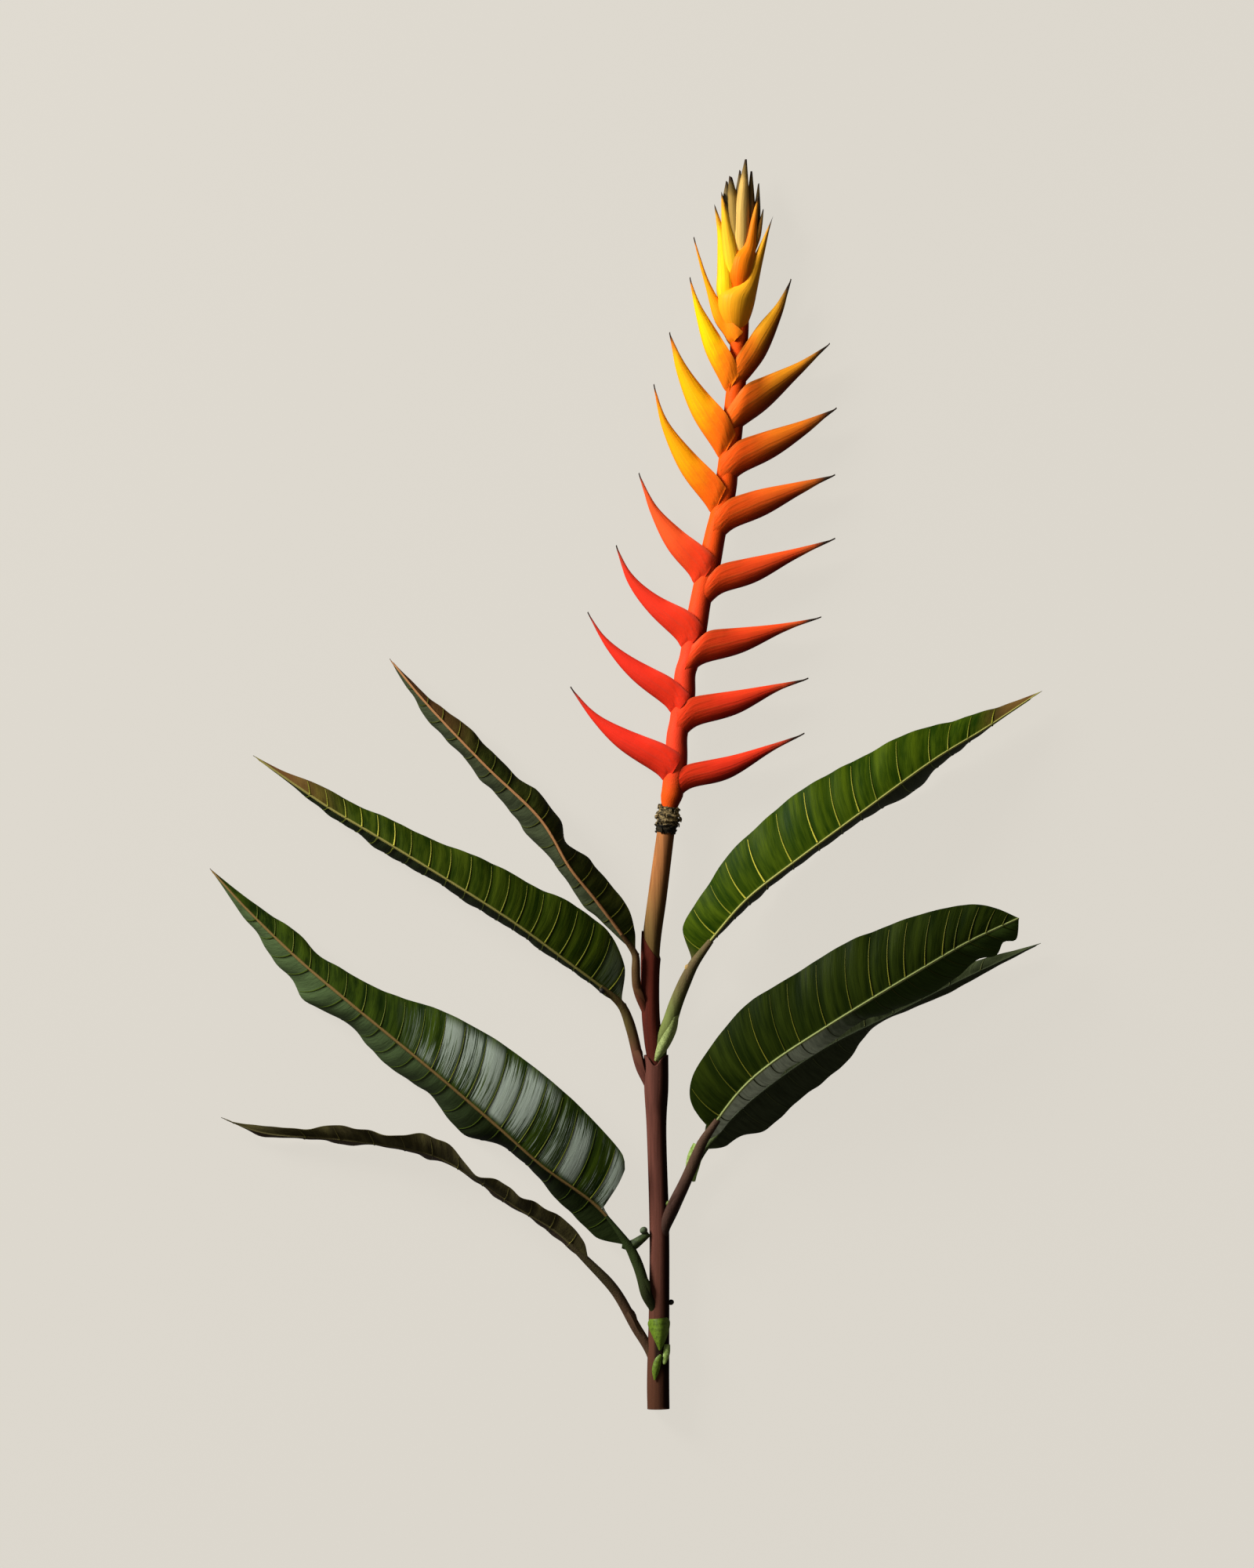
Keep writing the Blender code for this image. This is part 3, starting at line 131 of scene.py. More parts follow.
# Leaves. A foot clasps its support from y to y at an angle round it, then come the points of the stalk and
# the rib, and the two edges of the blade between the first and the last point of the rib
LEAVES = {
    "leaf_left_1": dict(
        side=-1, support="stalk", foot=(-164, -141), angle=150, stalk_radius=2.8,
        clasp=1, rib_depth=2.4,
        stalk=((6.3, -129.5, 16.2), (5.6, -118.5, 17.8)),
        rib=((6, -108.5, 18.5), (-8.5, -89, 26), (-21.5, -72, 31), (-37, -52.5, 34), (-55.5, -22, 34),
             (-90.5, 12, 27), (-127.5, 51, 17), (-151, 79.5, 9)),
        upper=((6, -98.5, 19), (1, -79.5, 18), (-8.5, -67, 17), (-22.5, -48.5, 17), (-38.5, -38, 18),
               (-43, -22, 17), (-55.5, -5, 16), (-68.5, 2.5, 15), (-94.5, 30, 14), (-128.5, 57.5, 11)),
        lower=((-8.5, -95, 21), (-24, -80.5, 16), (-42.5, -56.5, 9), (-55.5, -40.5, 5), (-77.5, -14.5, 3),
               (-101, 13, 4), (-121, 34, 6), (-141.5, 63, 7.5))),
    "leaf_left_2": dict(
        side=-1, support="stem", foot=(-217, -190), angle=176, stalk_radius=3.3,
        clasp=1.15, rib_depth=2.8,
        stalk=((6.6, -172.5, 11), (3.8, -160, 11.6), (0.8, -150, 12.6)),
        rib=((-2.5, -141, 14.5), (-14, -131, 19), (-38, -113, 27), (-72, -88, 33), (-114, -61, 33),
             (-160.5, -32.5, 26), (-193, -13, 18), (-238, 18, 9)),
        upper=((-0.5, -125, 12.5), (-3.5, -109.5, 12), (-12.5, -93, 12.5), (-34.5, -76.5, 16),
               (-55.5, -66.5, 20), (-78, -54, 23), (-103.5, -43, 24), (-129.5, -32.5, 23),
               (-148.5, -23.5, 21.5), (-174, -12, 18), (-195, -1, 15), (-219, 8.5, 11)),
        lower=((-14.5, -134.5, 11), (-43, -113, 4), (-77, -90.5, 1.5), (-112, -68.5, 1), (-140, -52, 1.5),
               (-167.5, -35.5, 4), (-204, -8.5, 8))),
    "leaf_left_3": dict(
        side=-1, support="stem", foot=(-350, -338), angle=140, stalk_radius=3.4,
        clasp=0.95, rib_depth=3.4,
        stalk=((11.9, -330, 14.4), (10.8, -319, 14.6), (7, -306, 14.2)),
        rib=((1.5, -294, 14.5), (-19, -268.5, 20), (-54, -242.5, 30), (-86.5, -213.5, 36), (-128, -178, 39),
             (-174.5, -140, 34), (-208.5, -111.5, 26), (-241, -80.5, 17), (-265.5, -54, 10)),
        upper=((-15, -268.5, 19.5), (-11, -262, 20), (-3, -251, 21), (-1.5, -242.5, 22), (-5, -232, 24),
               (-28.5, -206, 28), (-44.5, -191.5, 29), (-63.5, -176, 30), (-88, -159, 30), (-120, -143, 29),
               (-157.5, -130, 26), (-193, -110.5, 22), (-208.5, -95, 18), (-234, -78.5, 14)),
        lower=((-4.5, -297, 12), (-16.5, -292, 8), (-46.5, -262, 2), (-66, -242.5, 0.8),
               (-80.5, -229.5, 0.8), (-103.5, -223, 0.8), (-128, -197.5, 1.5), (-156, -176, 2.5),
               (-175, -156, 3.5), (-203.5, -139, 4), (-213.5, -124, 4.5), (-225, -112.5, 5),
               (-239, -92, 6.5))),
    "leaf_left_4": dict(
        side=-1, support="stem", foot=(-393, -376), angle=183, stalk_radius=2.6,
        clasp=0.95, rib_depth=2,
        stalk=((8.8, -356, 7.4), (3.4, -342, 9), (-8, -321.5, 13)),
        rib=((-24, -304.5, 17), (-45, -284.5, 20), (-70.5, -268.5, 21), (-99.5, -248.5, 20),
             (-130, -234, 18), (-184, -226, 14), (-229.5, -222.5, 10), (-258.5, -212.5, 7)),
        upper=((-22, -298, 22), (-42, -275.5, 30), (-71.5, -258, 36), (-96, -247, 36), (-115, -226.5, 34),
               (-146.5, -223, 28), (-177, -218, 23), (-207.5, -219, 17), (-244.5, -216.5, 10)),
        lower=((-29, -302.5, 11), (-47, -287, 4), (-71.5, -270.5, 1.2), (-100, -250.5, 0.8), (-130, -236, 1),
               (-184, -228, 2), (-229.5, -224.5, 3.5))),
    "leaf_right_1": dict(
        side=1, support="stalk", foot=(-192, -168), angle=6, stalk_radius=4,
        clasp=1.4, rib_depth=3,
        stalk=((26.6, -155, 12.6), (30.2, -142, 14.5), (36, -127.5, 17.5)),
        rib=((42, -114.5, 21), (57, -95, 28), (77.5, -72, 36), (107.5, -48.5, 41), (149.5, -17.5, 40),
             (194.5, 15, 30), (229, 36, 20), (264, 59, 10)),
        upper=((37, -111, 20), (34.5, -100.5, 19), (36, -89.5, 20), (42.5, -77.5, 22), (54.5, -59, 25),
               (67, -42, 27), (82, -28, 28), (99, -12, 28), (115.5, -1, 28), (143.5, 14.5, 26),
               (178.5, 32, 22), (207.5, 40.5, 18), (232, 47.5, 14)),
        lower=((56, -99, 15), (76, -78, 6), (99, -58.5, 3), (122, -40.5, 1.5), (145, -25.5, 1),
               (164.5, -13.5, 1), (181.5, -5.5, 1.5), (200, 11, 4), (213.5, 23.5, 6))),
    "leaf_right_2": dict(
        side=1, support="stem", foot=(-312, -290), angle=38, stalk_radius=3.7,
        clasp=0.75, rib_depth=3.2,
        stalk=((28.6, -270, 17), (35, -257, 19.5), (41, -244, 22)),
        rib=((48, -226.5, 26), (70.5, -196, 36), (92, -176.5, 42), (125, -154.5, 47), (158, -134, 48),
             (189, -115.5, 45), (217, -99.5, 40), (248.5, -85, 34)),
        upper=((50, -215.5, 29), (44, -209, 29), (40, -199.5, 30), (40.5, -189, 31), (45.5, -178, 32),
               (59.5, -157.5, 34), (76.5, -139, 36), (94, -128, 37), (134.5, -103, 38), (158, -92.5, 38),
               (181.5, -84, 37), (209.5, -77, 36), (223.5, -76.5, 35), (236, -79.5, 34)),
        lower=((49.5, -234, 22), (64, -216, 19), (90.5, -190.5, 19), (119, -171.5, 20), (142, -155.5, 22),
               (165.5, -145, 24), (203, -128, 28), (220.5, -112, 30), (233.5, -109, 31), (239, -100.5, 32),
               (247, -98.5, 33))),
    "leaf_right_3": dict(
        side=1, support="stem", foot=(-312, -290), angle=-44, stalk_radius=2.9,
        clasp=0.6, rib_depth=2.2,
        stalk=((30, -272, 5.2), (37, -256, 6.6), (42, -244, 7.8)),
        rib=((48.5, -232.5, 9), (80, -201, 12), (125, -169, 13.5), (170, -146.5, 12.5), (215, -124, 9.5),
             (263.5, -101.5, 6.5)),
        upper=((50, -218, 7), (70, -186, 5), (110, -151, 4), (155, -130.5, 4), (200, -118.5, 5)),
        lower=((46.5, -244, 6.5), (56.5, -237, 4), (72, -225, 1.5), (87.5, -221, 0.8), (101.5, -209, 0.8),
               (123.5, -191, 0.8), (144, -173, 1.5), (159.5, -153, 6), (197, -137, 6), (244, -112, 6))),
}

# Finer shape of the leaves: rows along the blade and the stalk, and columns across them
BLADE_ROWS = 150
STALK_ROWS = 44
LEAF_SPREAD = 41
COLUMN_CROWDING = 1.5
BASE_CROWDING = 1.25
OPENING_LENGTH = 0.045
TIP_HALF_WIDTH = 0.15
VEIN_LEAN = ((0, 0), (0.09, 0.2), (0.33, 0.36), (0.63, 0.6), (0.88, 1.05), (1, 1.3))
VEIN_BOW = 0.11
BLADE_CROWN = 0.12
WAVES = 5
WAVE_COUNTS = (WAVES, WAVES * 1.9, WAVES * 3.3)
WAVY_WIDTH = 15
PLEAT_ROUNDNESS = 1.3
PLEATED_WIDTH = 22
RIDGE_HEIGHT = 0.5
RIDGE_WIDTH = 0.9
RIB_TAPER = 0.7

# Finer shape of the feet and stalks of the leaves, as shares of the way from the foot to the blade
FOOT_WALL = 0.6
FOOT_GAP = 0.35
STALK_BORE_SHARE = 0.4
STALK_CURL = 2.75
OPEN_CURL = 1.1
OPENING_START = 0.72
FOOT_TAPER = 0.4
FOOT_TAPER_RUN = 0.3
ROLL = (0.36, 0.3)
FACE_TURN = (0.35, 0.6)
STALK_FREE = 0.85
CLASP_NARROW = 0.5
LEAF_SINK = 0.75
LEAF_SINK_RUN = (0.2, 0.3)
STALK_PLACES = (0, 0.16, 0.45, 0.85, 1.0, 1.25, 1.6)
STALK_FOOT_SHARES = (0.5, 0.85, 1.03)
STALK_TOP_SHARES = (1.0, 0.82, 0.45, 0.1)
STALK_LINE = 90
STALK_EASING = 30
STALK_SIDES = 28

# Main veins: the least brightness of one, how much of its width and brightness it loses towards the edge,
# how far veins and rib stand out of the blade, and the rib's width at its foot and what it loses on its way
VEIN_DULLEST = 0.35
VEIN_TAPER = 0.6
VEIN_FADE = 0.4
LOWER_VEIN_SHARE = 0.15
VEIN_LIFT = 0.45
RIB_DROP = 0.4
RIB_ROD = (1.7, 1.2)
SHORTEST_VEIN = 7
TIP_WITHOUT_VEINS = 4
VEIN_SIDES = 7
VEIN_SEED = 50
FIRST_LEAF_SEED = 3

# The way that the sides with painted shade on the stem, stalks and bracts face, and where the painted shade
# starts and is full
SHADED_SIDE = np.array((0.86, -0.46, -0.2))
STALK_PAINTED_SHADE = (0.15, 0.75)
BRACT_PAINTED_SHADE = (0.12, 0.8)
AXIS_PAINTED_SHADE = (0.16, 0.68)
BARK_PAINTED_SHADE = (0.0, 0.5)

# How each leaf looks: how far along the rib its main veins start, how bright they are, its dark and light
# green, the tone of its lower half, its stalk at the stem and at the blade and its rib. Some have a silvery
# bloom with a painted sheen between two places along the rib, with its share, a copper tip, or one stretch of
# brighter veins
LEAF_LOOKS = {
    "leaf_left_1": dict(
        veins=(16, 30, 46, 60, 76, 90, 107, 122, 138, 152, 167, 183, 198, 212, 226),
        bright=0.25, dark=(0.012, 0.018, 0.003), light=(0.045, 0.055, 0.008), lower=(0.07, 0.085, 0.04),
        foot=(0.13, 0.028, 0.016), stalk=(0.1, 0.06, 0.022), rib=(0.42, 0.2, 0.08), copper=(165, 235)),
    "leaf_left_2": dict(
        veins=(14, 28, 41, 54, 66, 77, 88, 100, 112, 126, 140, 154, 168, 180, 192, 204, 216, 230, 244, 258),
        bright=0.7, dark=(0.009, 0.021, 0.001), light=(0.05, 0.072, 0.004), lower=(0.035, 0.05, 0.018),
        foot=(0.13, 0.042, 0.028), stalk=(0.1, 0.075, 0.022), rib=(0.3, 0.26, 0.07), bloom_and_sheen=(2, 26),
        bloom_and_sheen_share=0.2, shine=(190, 35), copper=(215, 280)),
    "leaf_left_3": dict(
        veins=(24, 40, 54, 70, 85, 99, 114, 128, 143, 158, 172, 186, 200, 214, 229, 244, 258, 273, 288, 304,
               320),
        bright=0.2, dark=(0.007, 0.016, 0.002), light=(0.043, 0.07, 0.005), lower=(0.02, 0.03, 0.008),
        lower_tip=(0.1, 0.15, 0.055), turn=(120, 215), foot=(0.035, 0.04, 0.014), stalk=(0.03, 0.045, 0.012),
        rib=(0.25, 0.15, 0.05), bloom_and_sheen=(22, 188), bloom_and_sheen_share=0.72),
    "leaf_left_4": dict(
        veins=(18, 34, 50, 68, 85, 104, 122, 140, 160, 182, 204),
        bright=0.2, dark=(0.035, 0.028, 0.012), light=(0.1, 0.085, 0.03), lower=(0.1, 0.065, 0.04),
        stout=1.22, ruffle=2, foot=(0.1, 0.055, 0.03), stalk=(0.06, 0.05, 0.022), rib=(0.12, 0.1, 0.04)),
    "leaf_right_1": dict(
        veins=(11, 24.6, 41.7, 55.5, 71.5, 92.9, 113.2, 131, 146, 159.5, 179, 202, 216, 231, 250),
        bright=1, dark=(0.011, 0.03, 0.001), light=(0.062, 0.096, 0.003), lower=(0.05, 0.06, 0.03),
        foot=(0.16, 0.19, 0.05), stalk=(0.13, 0.09, 0.04), rib=(0.4, 0.38, 0.1), shine=(72, 50),
        copper=(240, 280), foot_full=(1.35, 1.4, 1.2)),
    # leaf_right_2's lower half is painted very pale: a painted sheen of that half, seen at a grazing angle,
    # lifted against the shade it lies in
    "leaf_right_2": dict(
        veins=(20, 38.9, 53, 67.2, 80, 91.1, 110.6, 129.7, 145.4, 158, 169, 183.6, 196.5, 205, 216, 228,
               240),
        bright=0.32, dark=(0.006, 0.012, 0.001), light=(0.026, 0.039, 0.003), lower=(0.66, 0.74, 0.55),
        lower_tip=(0.035, 0.06, 0.01), turn=(95, 150), foot=(0.07, 0.035, 0.025), stalk=(0.09, 0.05, 0.03),
        rib=(0.32, 0.36, 0.12)),
    "leaf_right_3": dict(
        veins=(18, 36, 54, 72, 91, 110, 130, 150, 170, 190, 212),
        bright=0.1, dark=(0.02, 0.026, 0.01), light=(0.07, 0.085, 0.035), lower=(0.05, 0.06, 0.03),
        foot=(0.06, 0.04, 0.03), stalk=(0.09, 0.12, 0.04), rib=(0.05, 0.06, 0.03)),
}
COPPER = (0.2, 0.075, 0.03)
VEINLET_EDGES = (0.25, 0.75)
BLADE_START = (-0.004, 0.012)
SPECKLE = (0.55, 0.75)

# Colours of the bracts from the foot of the spike up: body, foot and edge of each
LEFT_TONES = (
    ((0.86, 0.032, 0.014), (0.86, 0.035, 0.012), (0.5, 0.05, 0.03)),
    ((0.87, 0.034, 0.015), (0.86, 0.036, 0.012), (0.5, 0.05, 0.03)),
    ((0.89, 0.04, 0.016), (0.86, 0.04, 0.012), (0.5, 0.06, 0.03)),
    ((0.93, 0.1, 0.02), (0.88, 0.05, 0.012), (0.55, 0.08, 0.03)),
    ((0.98, 0.36, 0.003), (0.92, 0.12, 0.006), (0.75, 0.16, 0.012)),
    ((0.98, 0.42, 0.003), (0.92, 0.14, 0.006), (0.75, 0.18, 0.012)),
    ((1.0, 0.56, 0.002), (0.94, 0.19, 0.006), (0.78, 0.2, 0.012)),
    ((0.96, 0.36, 0.006), (0.95, 0.22, 0.006), (0.72, 0.2, 0.014)),
)
RIGHT_TONES = (
    ((0.75, 0.03, 0.012), (0.88, 0.045, 0.012), (0.5, 0.05, 0.02)),
    ((0.78, 0.035, 0.012), (0.88, 0.05, 0.012), (0.6, 0.07, 0.02)),
    ((0.82, 0.05, 0.012), (0.88, 0.06, 0.012), (0.7, 0.1, 0.02)),
    ((0.8, 0.06, 0.012), (0.9, 0.07, 0.01), (0.6, 0.1, 0.02)),
    ((0.76, 0.09, 0.01), (0.9, 0.09, 0.008), (0.55, 0.12, 0.015)),
    ((0.7, 0.12, 0.008), (0.92, 0.1, 0.008), (0.45, 0.12, 0.015)),
    ((0.64, 0.17, 0.008), (0.92, 0.13, 0.008), (0.35, 0.13, 0.015)),
    ((0.66, 0.22, 0.008), (0.92, 0.16, 0.008), (0.32, 0.14, 0.015)),
)

# How far edge colour, painted shade on the sides that face right and down, and the dry point reach on a bract
# in the light and on a right one, which lies in shade
BRIGHT_BRACT = dict(edge=0.35, dark=0.4, dry=0.0)
SHADED_RIGHT_BRACT = dict(edge=0.5, dark=0.85, dry=0.13)

# Finer shape of the bracts
BRACT_WALL = 0.9
BRACT_LIP = 0.45
BRACT_CLEARANCE = 1.0
FOOT_CLEARANCE = 0.75
FOOT_SEAT = 3.0
FOOT_SEATED = (0.45, 0.5)
FOOT_SINK_RUN = (0.12, 0.73)
FOOT_SINK = 0.62
FOOT_ROWS = 14
BOAT_ROWS = 46
BRACT_COLUMNS = 33
BRACT_LINE = 200
BRACT_FULLNESS = 0.43
BRACT_CURL = math.radians(150)
BRACT_FOOT_CURL = math.radians(100)
BRACT_CURL_RUN = 0.3
BRACT_TIP = 0.7
BRACT_EASING = 14
WALL_PLACES = (-1, -0.6, 0.7, 1)
WALL_SHARES = (0.75, 1, 1, 0.35)
KEEL_CLASP_LEFT = (0, -7)
KEEL_CLASP_RIGHT = (-13, -13)
RIM_CLASP_RIGHT = (-5, -3)
FOOT_THIN_RIGHT = 0.35
FOOT_SHOULDER = 0.12
SHOULDER_RUN = 0.35

# The closed bud: its core, its root, then the outer edge, inner edge and z shift of each small bract with its
# body and foot colours. The large ones come first, and their edges are brighter
BUD_CORE = ((71.3, 280.6, 12.6, 6), (71, 289, 12.6, 7), (69.5, 301, 12.6, 7.6), (68, 314, 12.6, 9.4))
BUD_ROOT = ((70.5, 268, 12.6, 4.6), (71, 278, 12.6, 5.5), (71.5, 290, 12.6, 6), (72, 325, 12.6, 6))
BUD_BRACTS = (
    (((72, 283), (77, 293), (80.5, 303), (83, 315), (85.5, 328), (88, 340), (90.5, 352), (93, 361.5)),
     ((69, 284), (61, 294), (57.8, 303), (59, 312), (67, 316), (75, 324), (81, 336), (92, 359)),
     1.6, (0.85, 0.36, 0.012), (0.9, 0.29, 0.006)),
    (((69, 290), (60.5, 300), (57, 313), (57.3, 325), (57.5, 340), (57.3, 352), (55.5, 369)),
     ((71, 292), (70.5, 305), (69.5, 318), (68, 330), (65.5, 340), (62, 352), (56.5, 367)),
     0, (0.97, 0.62, 0.008), (0.9, 0.2, 0.01)),
    (((71.5, 309), (78.5, 320), (81.2, 332), (82.3, 345), (83, 358), (84, 375)),
     ((69, 312), (65, 324), (66.5, 335), (73, 342), (76.5, 352), (82.8, 372)),
     2.6, (0.86, 0.2, 0.004), (0.93, 0.1, 0.002)),
    (((68, 318), (62, 330), (60.3, 345), (60, 360), (60, 377)),
     ((71.5, 318), (73, 332), (70, 345), (66, 358), (61.5, 373)),
     2, (0.93, 0.5, 0.02), (0.95, 0.66, 0.01)),
    (((68, 325), (65, 343), (63, 362), (65, 387)),
     ((73, 325), (75.5, 343), (73.5, 362), (67, 386)),
     -1, (0.4, 0.24, 0.05), (0.9, 0.42, 0.01)),
    (((70, 328), (67.5, 346), (68, 362), (71, 380), (75, 397.5)),
     ((75, 328), (78, 346), (78, 362), (77.4, 380), (76.3, 397.5)),
     0.8, (0.74, 0.45, 0.11), (0.97, 0.62, 0.1)),
    (((76, 328), (81, 346), (82, 362), (79.8, 390)),
     ((72, 328), (72.5, 346), (75, 362), (78.6, 390)),
     -2, (0.16, 0.08, 0.02), (0.75, 0.17, 0.01)),
    (((76, 330), (83, 346), (85, 362), (84.2, 382.5)),
     ((73, 330), (76.5, 346), (80, 362), (83.4, 382)),
     -3.5, (0.1, 0.055, 0.02), (0.7, 0.16, 0.01)),
    (((69, 330), (62.5, 350), (60.5, 368), (63, 384)),
     ((74, 330), (71, 350), (67, 368), (64.2, 383)),
     -3, (0.3, 0.23, 0.12), (0.8, 0.4, 0.02)),
    (((79, 332), (84.5, 346), (86.2, 356), (87, 366)),
     ((76, 332), (80, 346), (83.4, 356), (86.4, 365.5)),
     1.5, (0.3, 0.13, 0.02), (0.75, 0.2, 0.01)),
    (((66, 330), (61.8, 345), (61.8, 358), (62.6, 371)),
     ((70, 330), (68, 345), (65.8, 358), (63.4, 370)),
     3.2, (0.75, 0.4, 0.03), (0.92, 0.3, 0.01)),
    (((71, 335), (68.5, 355), (68.5, 372), (71.5, 391)),
     ((75.5, 335), (75, 355), (74, 372), (72.5, 390)),
     -2.4, (0.14, 0.09, 0.04), (0.8, 0.4, 0.02)),
)
BUD_LARGE = 4
BUD_LARGE_EDGE = (0.62, 0.26, 0.02)
BUD_SMALL_EDGE = (0.11, 0.07, 0.02)
BUD_ROWS = 40
BUD_ROOT_ROWS = 24
BUD_SIDES = 24
BUD_LINE = 120
BUD_TIP = 0.3
BUD_FOLD = 0.1
BUD_FULLNESS = 0.85

# The dry collar: rings torn and slipped unevenly by seeded draws, and strewn with flakes
COLLAR_GROOVE = 7.0
COLLAR_RIDGE = 6.75
COLLAR_SWELL = 1.9
COLLAR_LENGTH = 16.5
COLLAR_RIDGES = 5
COLLAR_RIM = 2.4
COLLAR_SEED = 11
COLLAR_SIDES = 72
COLLAR_ROWS = 44
COLLAR_BANDS = 40
COLLAR_TEARS = (2, 3, 5, 9, 14)
COLLAR_TEAR_HEIGHT = 0.42
COLLAR_SLIPS = ((0.9, 2), (0.5, 5))
FLAKES = dict(density=60000.0, seed=4, smallest=0.5, largest=1.3)
FLAKE = ((0.0, -1.2, 0.0, 0.35), (0.0, 0.0, 0.25, 0.8), (0.2, 1.6, 0.1, 0.1))

# Small scales on the stem: rows and columns, wall, how much one bends round the stem, then the finish of
# each, the height of its cup, and its middle line with its half-widths
SCALE_ROWS = 26
SCALE_COLUMNS = 15
SCALE_WALL = 0.5
SCALE_BEND = 0.13
SCALE_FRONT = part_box("bud_scale")[1][2] / MM
SMALL_SCALES = {
    "scale_a": ("scale_green", 1.6, (
        (20, -340, SCALE_FRONT - 1.6, 5.2), (20.3, -343, SCALE_FRONT - 0.9, 6.7),
        (20.8, -348, SCALE_FRONT - 0.5, 5.6), (21, -353.5, SCALE_FRONT - 0.9, 3.3),
        (21, -360, SCALE_FRONT - 1.8, 0.35))),
    "scale_b": ("scale_pale", 0.7, (
        (25.6, -356.5, 13.6, 1.6), (25.2, -362, 14, 1.8), (24, -367, 14.4, 1.2), (23.6, -369, 14.4, 0.3))),
    "scale_c": ("scale_green", 0.8, (
        (21.6, -363, 15, 0.5), (19.6, -367, 15.2, 1.9), (18.2, -373, 15.2, 2), (17.6, -379, 14.8, 0.3))),
    "wedge": ("wedge", 1.0, (
        (18, -176, 17, 0.5), (20.6, -171, 17.2, 2.3), (24, -164, 16.6, 3.6), (27.6, -155, 16.2, 3.9),
        (30.2, -146, 16.6, 2.6))),
    "ear_left": ("auricle", 1.0, (
        (-3, -293, 13, 2.2), (3, -293.5, 14.5, 3), (8.5, -290, 14.5, 2.4), (13.8, -286, 13, 1.6))),
    "ear_right": ("scale_pale", 1.2, (
        (45.5, -229, 24.5, 3.2), (43, -237, 22.5, 4.2), (41.5, -245, 21.8, 3.6), (42.5, -252.5, 21, 0.6))),
}

# Knobs and beads: rings and sides, then finish, centre, radius, stretch along one direction and its turn
BEAD_RINGS = 14
BEAD_SIDES = 18
KNOBS = (
    ("scale_pale", (25.8, -267, 12), 1.7, 1.2, 1.0),
    ("knob_green", (10.6, -284, 13.5), 2.3, 1.1, 0.6),
    ("bead_tan", (38.6, -116.5, 21), 2.0, 1.0, 0.4),
    ("spot", (-16, -131.3, 21.5), 1.7, 1.2, 2.5),
    ("knob_dark", (28, -330, 8.5), 1.8, 1.1, 0.3),
)

# Small finishes: base, dark and how fine the mottle is
SMALL_FINISHES = {
    "wedge": ((0.3, 0.36, 0.11), (0.16, 0.2, 0.05), 900.0),
    "auricle": ((0.045, 0.07, 0.015), (0.02, 0.03, 0.008)),
    "knob_green": ((0.08, 0.11, 0.05), (0.03, 0.04, 0.02)),
    "bead_tan": ((0.5, 0.35, 0.12), (0.2, 0.1, 0.03)),
    "spot": ((0.012, 0.01, 0.006), (0.01, 0.01, 0.01)),
    "knob_dark": ((0.03, 0.02, 0.012), (0.01, 0.01, 0.01)),
}
SCALE_PALE = (0.3, 0.4, 0.12)

# A painted shadow in the hollow under the bud scale on the stem: the middle, outer and inner half-size along
# x and along y, in metres
SHADOW_UNDER_SCALE_X = (0.0225, 0.006, 0.0035)
SHADOW_UNDER_SCALE_Y = (-0.3635, 0.014, 0.007)
SHADOW_UNDER_SCALE_TONE = (0.012, 0.009, 0.006)

# Lights: the name of each is its setting too, then its width and place in metres
LIGHTS = (("key", 1.1, (-2.2, 1.6, 1.15)), ("fill", 3.0, (-0.6, 0.4, 3.2)))
SURFACE_SIZE = 6.0
SENSOR_WIDTH = 36.0
VIEW_END = 60.0


def number(name, about, default, low, high):
    return FloatProperty(name=name, description=about, default=default, min=low, max=high)


def length(name, about, default_mm, high_mm):
    return FloatProperty(name=name, description=about, default=default_mm * MM, min=0.0,
                         max=high_mm * MM, subtype="DISTANCE", unit="LENGTH", precision=5)


def colour(name, about, default):
    return FloatVectorProperty(name=name, description=about, default=default, min=0.0, max=1.0, size=3,
                               subtype="COLOR")


class HeliconiaLeaves(bpy.types.PropertyGroup):
    blade_wall: length("Blade thickness", "Thickness of the blade away from its rib", 0.5, 3.0)
    rib_width: length("Rib half-width", "Half-width of the rib at the base of the blade", 2.0, 6.0)
    pleat: length("Pleat depth", "How far the blade bulges between two main veins", 0.55, 3.0)
    ruffle: length("Ruffle height", "Height of the waves along the edge", 1.3, 6.0)
    vein_width: length("Vein half-width", "Radius of a main vein where it leaves the rib", 0.5, 2.0)
    veinlets: number("Veinlets", "Fine veins between two main veins", 9.0, 1.0, 30.0)
    vein: colour("Main veins", "Colour of the brightest main veins", (0.62, 0.56, 0.06))
    # The bloom colour stands partly for a waxy bloom and partly for a painted sheen of light
    bloom_and_sheen: colour("Bloom", "Silvery bloom on the upper face", (0.41, 0.47, 0.39))
    under: colour("Under face", "Colour of the under face of every leaf", (0.1, 0.125, 0.07))


class HeliconiaSpike(bpy.types.PropertyGroup):
    wall: length("Bract thickness", "Thickness of a bract at its keel", BRACT_WALL, 3.0)
    lip: length("Rim thickness", "Thickness of a bract at its rim", BRACT_LIP, 3.0)
    tip: colour("Dry tips", "Colour of the dried points of the bracts", (0.035, 0.02, 0.012))
    axis_low: colour("Axis, low", "Colour of the axis at the foot of the spike", (0.72, 0.08, 0.007))
    axis_middle: colour("Axis, middle", "Colour of the axis between the red bracts", (0.87, 0.055, 0.018))
    axis_high: colour("Axis, high", "Colour of the axis between the yellow bracts", (0.86, 0.088, 0.005))


